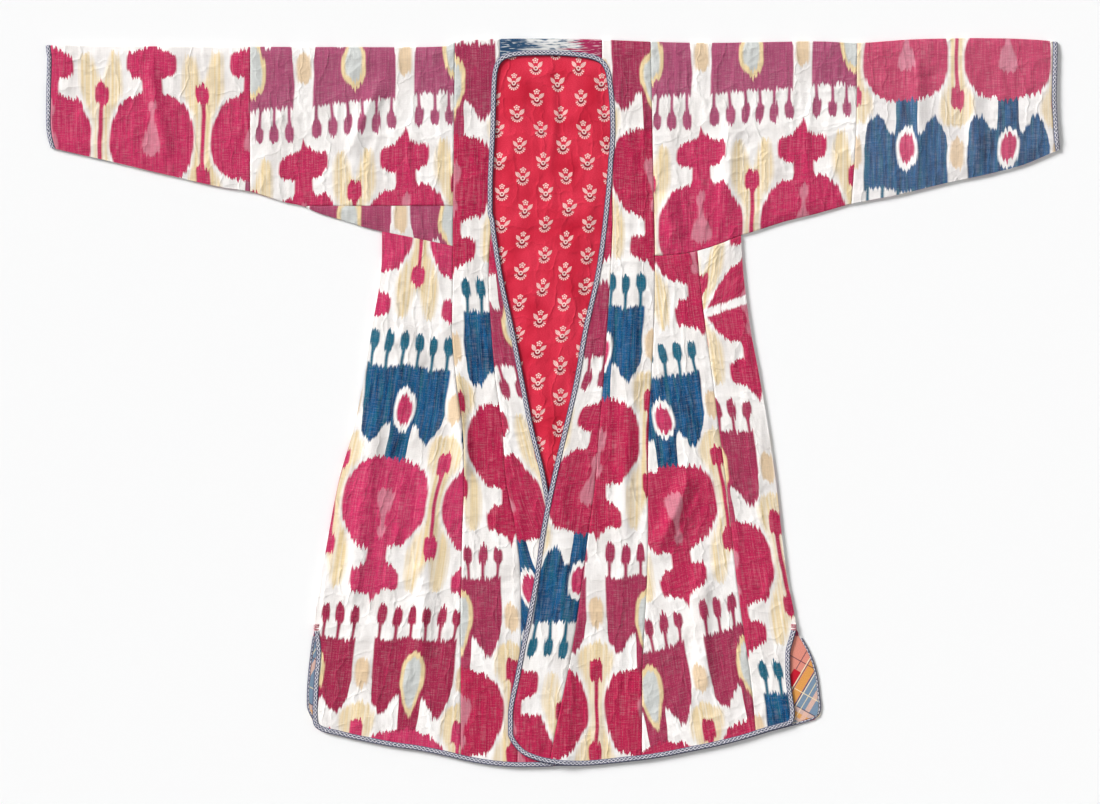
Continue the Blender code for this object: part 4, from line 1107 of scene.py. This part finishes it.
wedge = (steady(UNDERARM_TIP), shifted(SEAM_LEFT, -HALF), shifted(LOW_LEFT_LINE, HALF),
         steady(UNDERARM_SEAM - HALF))
side_low = shifted(LOW_LEFT_LINE, -HALF), shifted(LOW_RIGHT_LINE, -HALF)
right_of = {line: shifted(line, HALF) for line in (SEAM_LEFT, SEAM_RIGHT, GORE_LEFT, GORE_RIGHT, GORE_SIDE)}
left_of = {line: shifted(line, -HALF) for line in right_of}
shoulder_line = shifted(TOP_LINE, -FOLD_REACH - SHOULDER_RETURN - GAP)
flat = lying(0.0)
facing_top = steady(SLIT_TOP - FACING_START)
panels = {
    "underarm_front": Cloth(wedge, front_height, seams=("right", "top", "bottom"), tone=0.6, fade=0.6),
    "underarm_back": Cloth(wedge, flat, cell=COARSE, tone=0.6, fade=0.6),
    "front_left": shoulder((right_of[SEAM_LEFT], left_of[GORE_LEFT], HEM_LEFT_LINE), front_height, 0.35),
    "front_right": shoulder((right_of[GORE_RIGHT], left_of[SEAM_RIGHT], HEM_RIGHT_LINE), overlapping_height,
                            0.35),
    "gore_left": Cloth((right_of[GORE_LEFT], OPEN_LEFT, HEM_LEFT_LINE, steady(GORE_LEFT_TIP)), front_height,
                       seams=("left",), tone=0.4),
    "gore_right": Cloth((OPEN_RIGHT, left_of[GORE_RIGHT], HEM_RIGHT_LINE, steady(GORE_RIGHT_TIP)),
                        overlapping_height, seams=("right",), tone=0.4),
    "side_left": Cloth((SIDE_LEFT, left_of[SEAM_LEFT], HEM_LEFT_LINE, side_low[0]), front_height,
                       seams=("right", "top"), tone=1.0, fade=0.05),
    "side_right": Cloth((right_of[SEAM_RIGHT], left_of[GORE_SIDE], HEM_RIGHT_LINE, side_low[1]),
                        overlapping_height, seams=(*ACROSS, "top")),
    "side_gore": Cloth((right_of[GORE_SIDE], SIDE_RIGHT, HEM_RIGHT_LINE, side_low[1]), overlapping_height,
                       seams=("left", "top"), tone=0.55),
    "neck_band": shoulder((steady(NECK[0][0] + HALF), steady(NECK[-1][0] - HALF), NECK_LINE), front_height,
                          0.5),
    "back_centre": Cloth((right_of[SEAM_LEFT], left_of[SEAM_RIGHT], HEM_BACK_LINE, shoulder_line), flat,
                         cell=COARSE),
    "back_side_left": Cloth((back_left, left_of[SEAM_LEFT], HEM_BACK_LINE, side_low[0]), flat, cell=MEDIUM),
    "back_side_right": Cloth((right_of[SEAM_RIGHT], back_right, HEM_BACK_LINE, side_low[1]), flat,
                             cell=MEDIUM),
    "facing_left": Cloth((shifted(back_left, FACING_CLEAR), shifted(SIDE_LEFT, FACING_TUCK),
                          inside_corner(-FACING_CLEAR), facing_top), lying(LOW), THIN),
    "facing_right": Cloth((shifted(SIDE_RIGHT, -FACING_TUCK), shifted(back_right, -FACING_CLEAR),
                           inside_corner(FACING_CLEAR), facing_top), lying(LOW), THIN),
    "neck_lining": Cloth((shifted(OPEN_LEFT, -LINING_TUCK), shifted(OPEN_RIGHT, LINING_TUCK),
                          steady(LINING_END), shifted(NECK_LINE, LINING_TUCK / 2)), lining_height, THIN),
}
side_gore = panels["side_gore"]
side_gore.bare = 1 - smoothstep(distance(side_gore.x, side_gore.y, [RESIST]) / RESIST_REACH)
NODES = {"underarm_front": "underarm_left_front", "underarm_back": "underarm_left_back",
         "side_gore": "side_gore_right"}
MATERIALS = {"neck_band": STREAKED, "facing_left": PLAID, "facing_right": PLAID, "neck_lining": LINING}
CUTS = {"underarm_front": CUT_UNDERARM, "underarm_back": CUT_UNDERARM, "front_left": CUT_FRONT_LEFT,
        "front_right": CUT_FRONT_RIGHT, "gore_left": CUT_GORE_LEFT, "gore_right": CUT_GORE_RIGHT,
        "side_left": CUT_SIDE_LEFT, "side_right": CUT_SIDE_RIGHT, "side_gore": cut_side_gore,
        "neck_band": CUT_NECK_BAND, "facing_left": CUT_FACING_LEFT, "facing_right": CUT_FACING_RIGHT,
        "neck_lining": CUT_LINING}
for name, piece in panels.items():
    piece.build(name + "_cloth", NODES.get(name, name), MATERIALS.get(name, IKAT), CUTS.get(name, CUT_BACK))
made.update(panels)

# Cross-sections of the edging from its outer lip inwards: how far across, and height above the cloth, in mm
BRAID_PROFILE = ((-0.3, -1.5), (-0.7, -0.7), (-0.6, 0.2), (0.1, 0.8), (1.0, 1.2), (2.1, 1.35), (3.1, 1.2),
                 (3.75, 0.9), (4.4, 1.2), (5.4, 1.35), (6.5, 1.2), (7.2, 0.8), (7.55, 0.3), (7.3, 0.1),
                 (0.1, 0.1), (0.0, -1.4))
TURNED_PROFILE = ((-0.3, -1.5), (-0.7, -0.7), (-0.6, 0.2), (-0.1, 0.7), (0.7, 1.0), (1.6, 1.0), (2.4, 0.8),
                  (2.9, 0.4), (2.7, 0.1), (0.1, 0.1), (0.0, -1.4))
STEP_ALONG = 0.0015
CORNER_REACH = 0.012
CORNER_FADE = 0.010
PASSES_ALL = 2
PASSES_CORNER = 22


def braid_along(names, runs, profile):
    """One edging along bound edges that follow on, cut into a piece for each. The cloth is on the left."""
    line, part = [runs[0][0]], [0]
    for k, run in enumerate(runs):
        for point in run:
            if np.linalg.norm(point - line[-1]) > STEP_ALONG:
                line.append(point)
                part.append(k)
    line, part = np.array(line), np.array(part)
    corner = np.zeros(len(line))
    for turn in np.flatnonzero(np.diff(part)):
        off = np.linalg.norm(line - line[turn], axis=1)
        corner = np.maximum(corner, 1 - smoothstep((off - CORNER_REACH) / CORNER_FADE))
    for step in range(PASSES_ALL + PASSES_CORNER):
        soft = line.copy()
        soft[1:-1] = line[1:-1] * 0.5 + (line[:-2] + line[2:]) * 0.25
        share = (np.ones(len(line)) if step < PASSES_ALL else corner)[:, None]
        line = line * (1 - share) + soft * share
    way = np.diff(line[:, :2], axis=0)
    lengths = np.linalg.norm(way, axis=1)
    way /= lengths[:, None]
    both = np.vstack([way[:1], way]) + np.vstack([way, way[-1:]])
    inward = np.stack([-both[:, 1], both[:, 0]], axis=1)
    inward /= np.linalg.norm(inward, axis=1)[:, None]
    travelled = np.concatenate([[0], np.cumsum(lengths)])
    ring = len(profile)
    pieces = []
    for k, name in enumerate(names):
        own = np.flatnonzero(part == k)
        own = np.arange(own[0], min(own[-1] + 2, len(line)))
        points, uv = [], []
        for off, height in profile:
            xy = line[own, :2] + inward[own] * off * MM
            points.append(np.column_stack([xy + SHIFT, line[own, 2] + height * MM]))
            uv.append(np.column_stack([travelled[own], np.full(len(own), off * MM)]))
        points, uv = np.stack(points, axis=1).reshape(-1, 3), np.stack(uv, axis=1).reshape(-1, 2)
        faces = rings(0, len(own), ring, flip=True)
        piece = mesh_of("braid_" + name, points, faces, uv, None, BRAID)
        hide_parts("trim_" + name)
        pieces.append(piece)
    return pieces


def between(line, low, high):
    return line[(line[:, 1] > low) & (line[:, 1] < high)]


def bottoms(*names):
    return [made[name].edge("bottom") for name in names]


front_slit, back_slit = (-1.0, SLIT_TOP - 0.002), (-1.0, SLIT_TOP - BACK_BRAID_START)
left_run = np.vstack([
    between(made["side_left"].edge("left"), *front_slit)[::-1],
    *bottoms("side_left", "front_left", "gore_left"), made["gore_left"].edge("right"),
    between(made["front_left"].edge("right"), GORE_LEFT_TIP, NECK_CORNER)])
right_run = np.vstack([
    between(made["front_right"].edge("left"), GORE_RIGHT_TIP, NECK_CORNER)[::-1],
    made["gore_right"].edge("left")[::-1], *bottoms("gore_right", "front_right", "side_right", "side_gore"),
    between(side_gore.edge("right"), *front_slit)])
back_run = np.vstack([
    between(made["back_side_left"].edge("left"), *back_slit)[::-1],
    *bottoms("back_side_left", "back_centre", "back_side_right"),
    between(made["back_side_right"].edge("right"), *back_slit)])
trim_left, trim_neck, trim_right = braid_along(
    ("left", "neck", "right"), (left_run, made["neck_band"].edge("bottom"), right_run), BRAID_PROFILE)
trim_back, = braid_along(("back",), (back_run,), TURNED_PROFILE)

# One stitch of a tack, from the cloth over its edge and down: mm inside the edge, mm above the cloth there
STITCH = ((7.4, -0.2), (6.2, 0.4), (4.4, 0.6), (2.6, 0.6), (1.2, 0.5), (0.0, 0.3), (-0.6, -0.5), (-0.9, -1.5),
          (-0.7, -2.4))
TACK_LEANS = (0.3, -0.5, 0.9, -0.2, 0.6, -0.8, 0.1, 0.5)
TACK_TOP = 0.007
TACK_STEP = 0.0013
THREAD_SIDES = 6
THREAD_RADIUS = 0.00045


def tack(name, panel, inward, column):
    """A few turns of thread over the edge, which hold the top of a slit together."""
    near = panel.outer[np.abs(panel.outer[:, column, 1] - SLIT_TOP) < 0.03]
    points, faces = [], []
    for turn, lean in enumerate(TACK_LEANS):
        y = SLIT_TOP + TACK_TOP - TACK_STEP * turn
        row = near[np.argmin(np.abs(near[:, column, 1] - y))]
        faces += rings(len(points), len(STITCH), THREAD_SIDES)
        for inside, above_cloth in STITCH:
            x = row[column, 0] + inward * (inside + 0.5 * lean) * MM
            z = row[np.argmin(np.abs(row[:, 0] - x)), 2] + above_cloth * MM
            for k in range(THREAD_SIDES):
                angle = 2 * math.pi * k / THREAD_SIDES
                out, up = THREAD_RADIUS * math.sin(angle), THREAD_RADIUS * math.cos(angle)
                points.append((x + inward * out * (inside < 0), y + lean * inside * 0.3 * MM + up,
                               max(z, 0.7 * MM) + out * (inside >= 0)))
    points = np.array(points)
    points[:, :2] += SHIFT
    mesh_of(name, points, faces, points[:, :2] * 6, None, THREAD)


tack("tack_left", made["side_left"], 1, 0)
tack("tack_right", side_gore, -1, -1)

# Surroundings
FLOOR_REACH = 9.0
FLOOR_LEVEL = -0.0003
BACKDROP_REACH = 8.9
BACKDROP_HEIGHT = 12.0


def square(reach, level):
    return [(-reach, -reach, level), (reach, -reach, level), (reach, reach, level), (-reach, reach, level)]


def staged(name, points, faces, values):
    """A piece of the studio, with a material of its own that has the given values."""
    material = bpy.data.materials.new("pale_" + name)
    material.use_nodes = True
    for socket, value in values.items():
        material.node_tree.nodes["Principled BSDF"].inputs[socket].default_value = value
    mesh = bpy.data.meshes.new(name)
    mesh.from_pydata(points, [], faces)
    mesh.materials.append(material)
    piece = bpy.data.objects.new(name, mesh)
    bpy.context.scene.collection.objects.link(piece)
    return piece


staged("floor", square(FLOOR_REACH, FLOOR_LEVEL), [(0, 1, 2, 3)],
       {"Base Color": (0.91, 0.91, 0.91, 1.0), "Roughness": 0.9, "Specular IOR Level": 0.1})
backdrop = staged("backdrop", square(BACKDROP_REACH, FLOOR_LEVEL) + square(BACKDROP_REACH, BACKDROP_HEIGHT),
                  [(i, (i + 1) % 4, (i + 1) % 4 + 4, i + 4) for i in range(4)],
                  {"Base Color": (0.0, 0.0, 0.0, 1.0), "Emission Color": (1.0, 1.0, 1.0, 1.0),
                   "Emission Strength": 0.92, "Specular IOR Level": 0.0})
for rays in ("visible_diffuse", "visible_glossy", "visible_transmission", "visible_shadow"):
    setattr(backdrop, rays, False)

world = bpy.data.worlds.new("studio")
world.use_nodes = True
world.node_tree.nodes["Background"].inputs["Color"].default_value = (1.0, 1.0, 1.0, 1.0)
world.node_tree.nodes["Background"].inputs["Strength"].default_value = 0.30
bpy.context.scene.world = world


def lamp(name, bearing, elevation, strength, spread):
    """A soft light from far off, so the floor is even in every view. Angles in degrees."""
    light = bpy.data.lights.new(name, "SUN")
    light.energy = strength
    light.angle = math.radians(spread)
    piece = bpy.data.objects.new(name, light)
    piece.rotation_euler = (math.radians(90 - elevation), 0.0, math.radians(90 + bearing))
    bpy.context.scene.collection.objects.link(piece)


lamp("key", 145, 28, 4.3, 22)
lamp("fill", -30, 50, 0.5, 60)

PHOTO_MIDDLE = (550, 402)
VIEW_WIDTH = 1100 * UNIT
LENS = 85.0
SENSOR = 36.0
camera = bpy.data.objects.new("camera", bpy.data.cameras.new("camera"))
camera.data.lens = LENS
camera.data.sensor_width = SENSOR
camera.data.clip_end = 50
camera.location = (*(charted([PHOTO_MIDDLE])[0] + SHIFT), VIEW_WIDTH * LENS / SENSOR + 0.004)
bpy.context.scene.collection.objects.link(camera)
bpy.context.scene.camera = camera
bpy.context.scene.view_settings.view_transform = "Standard"
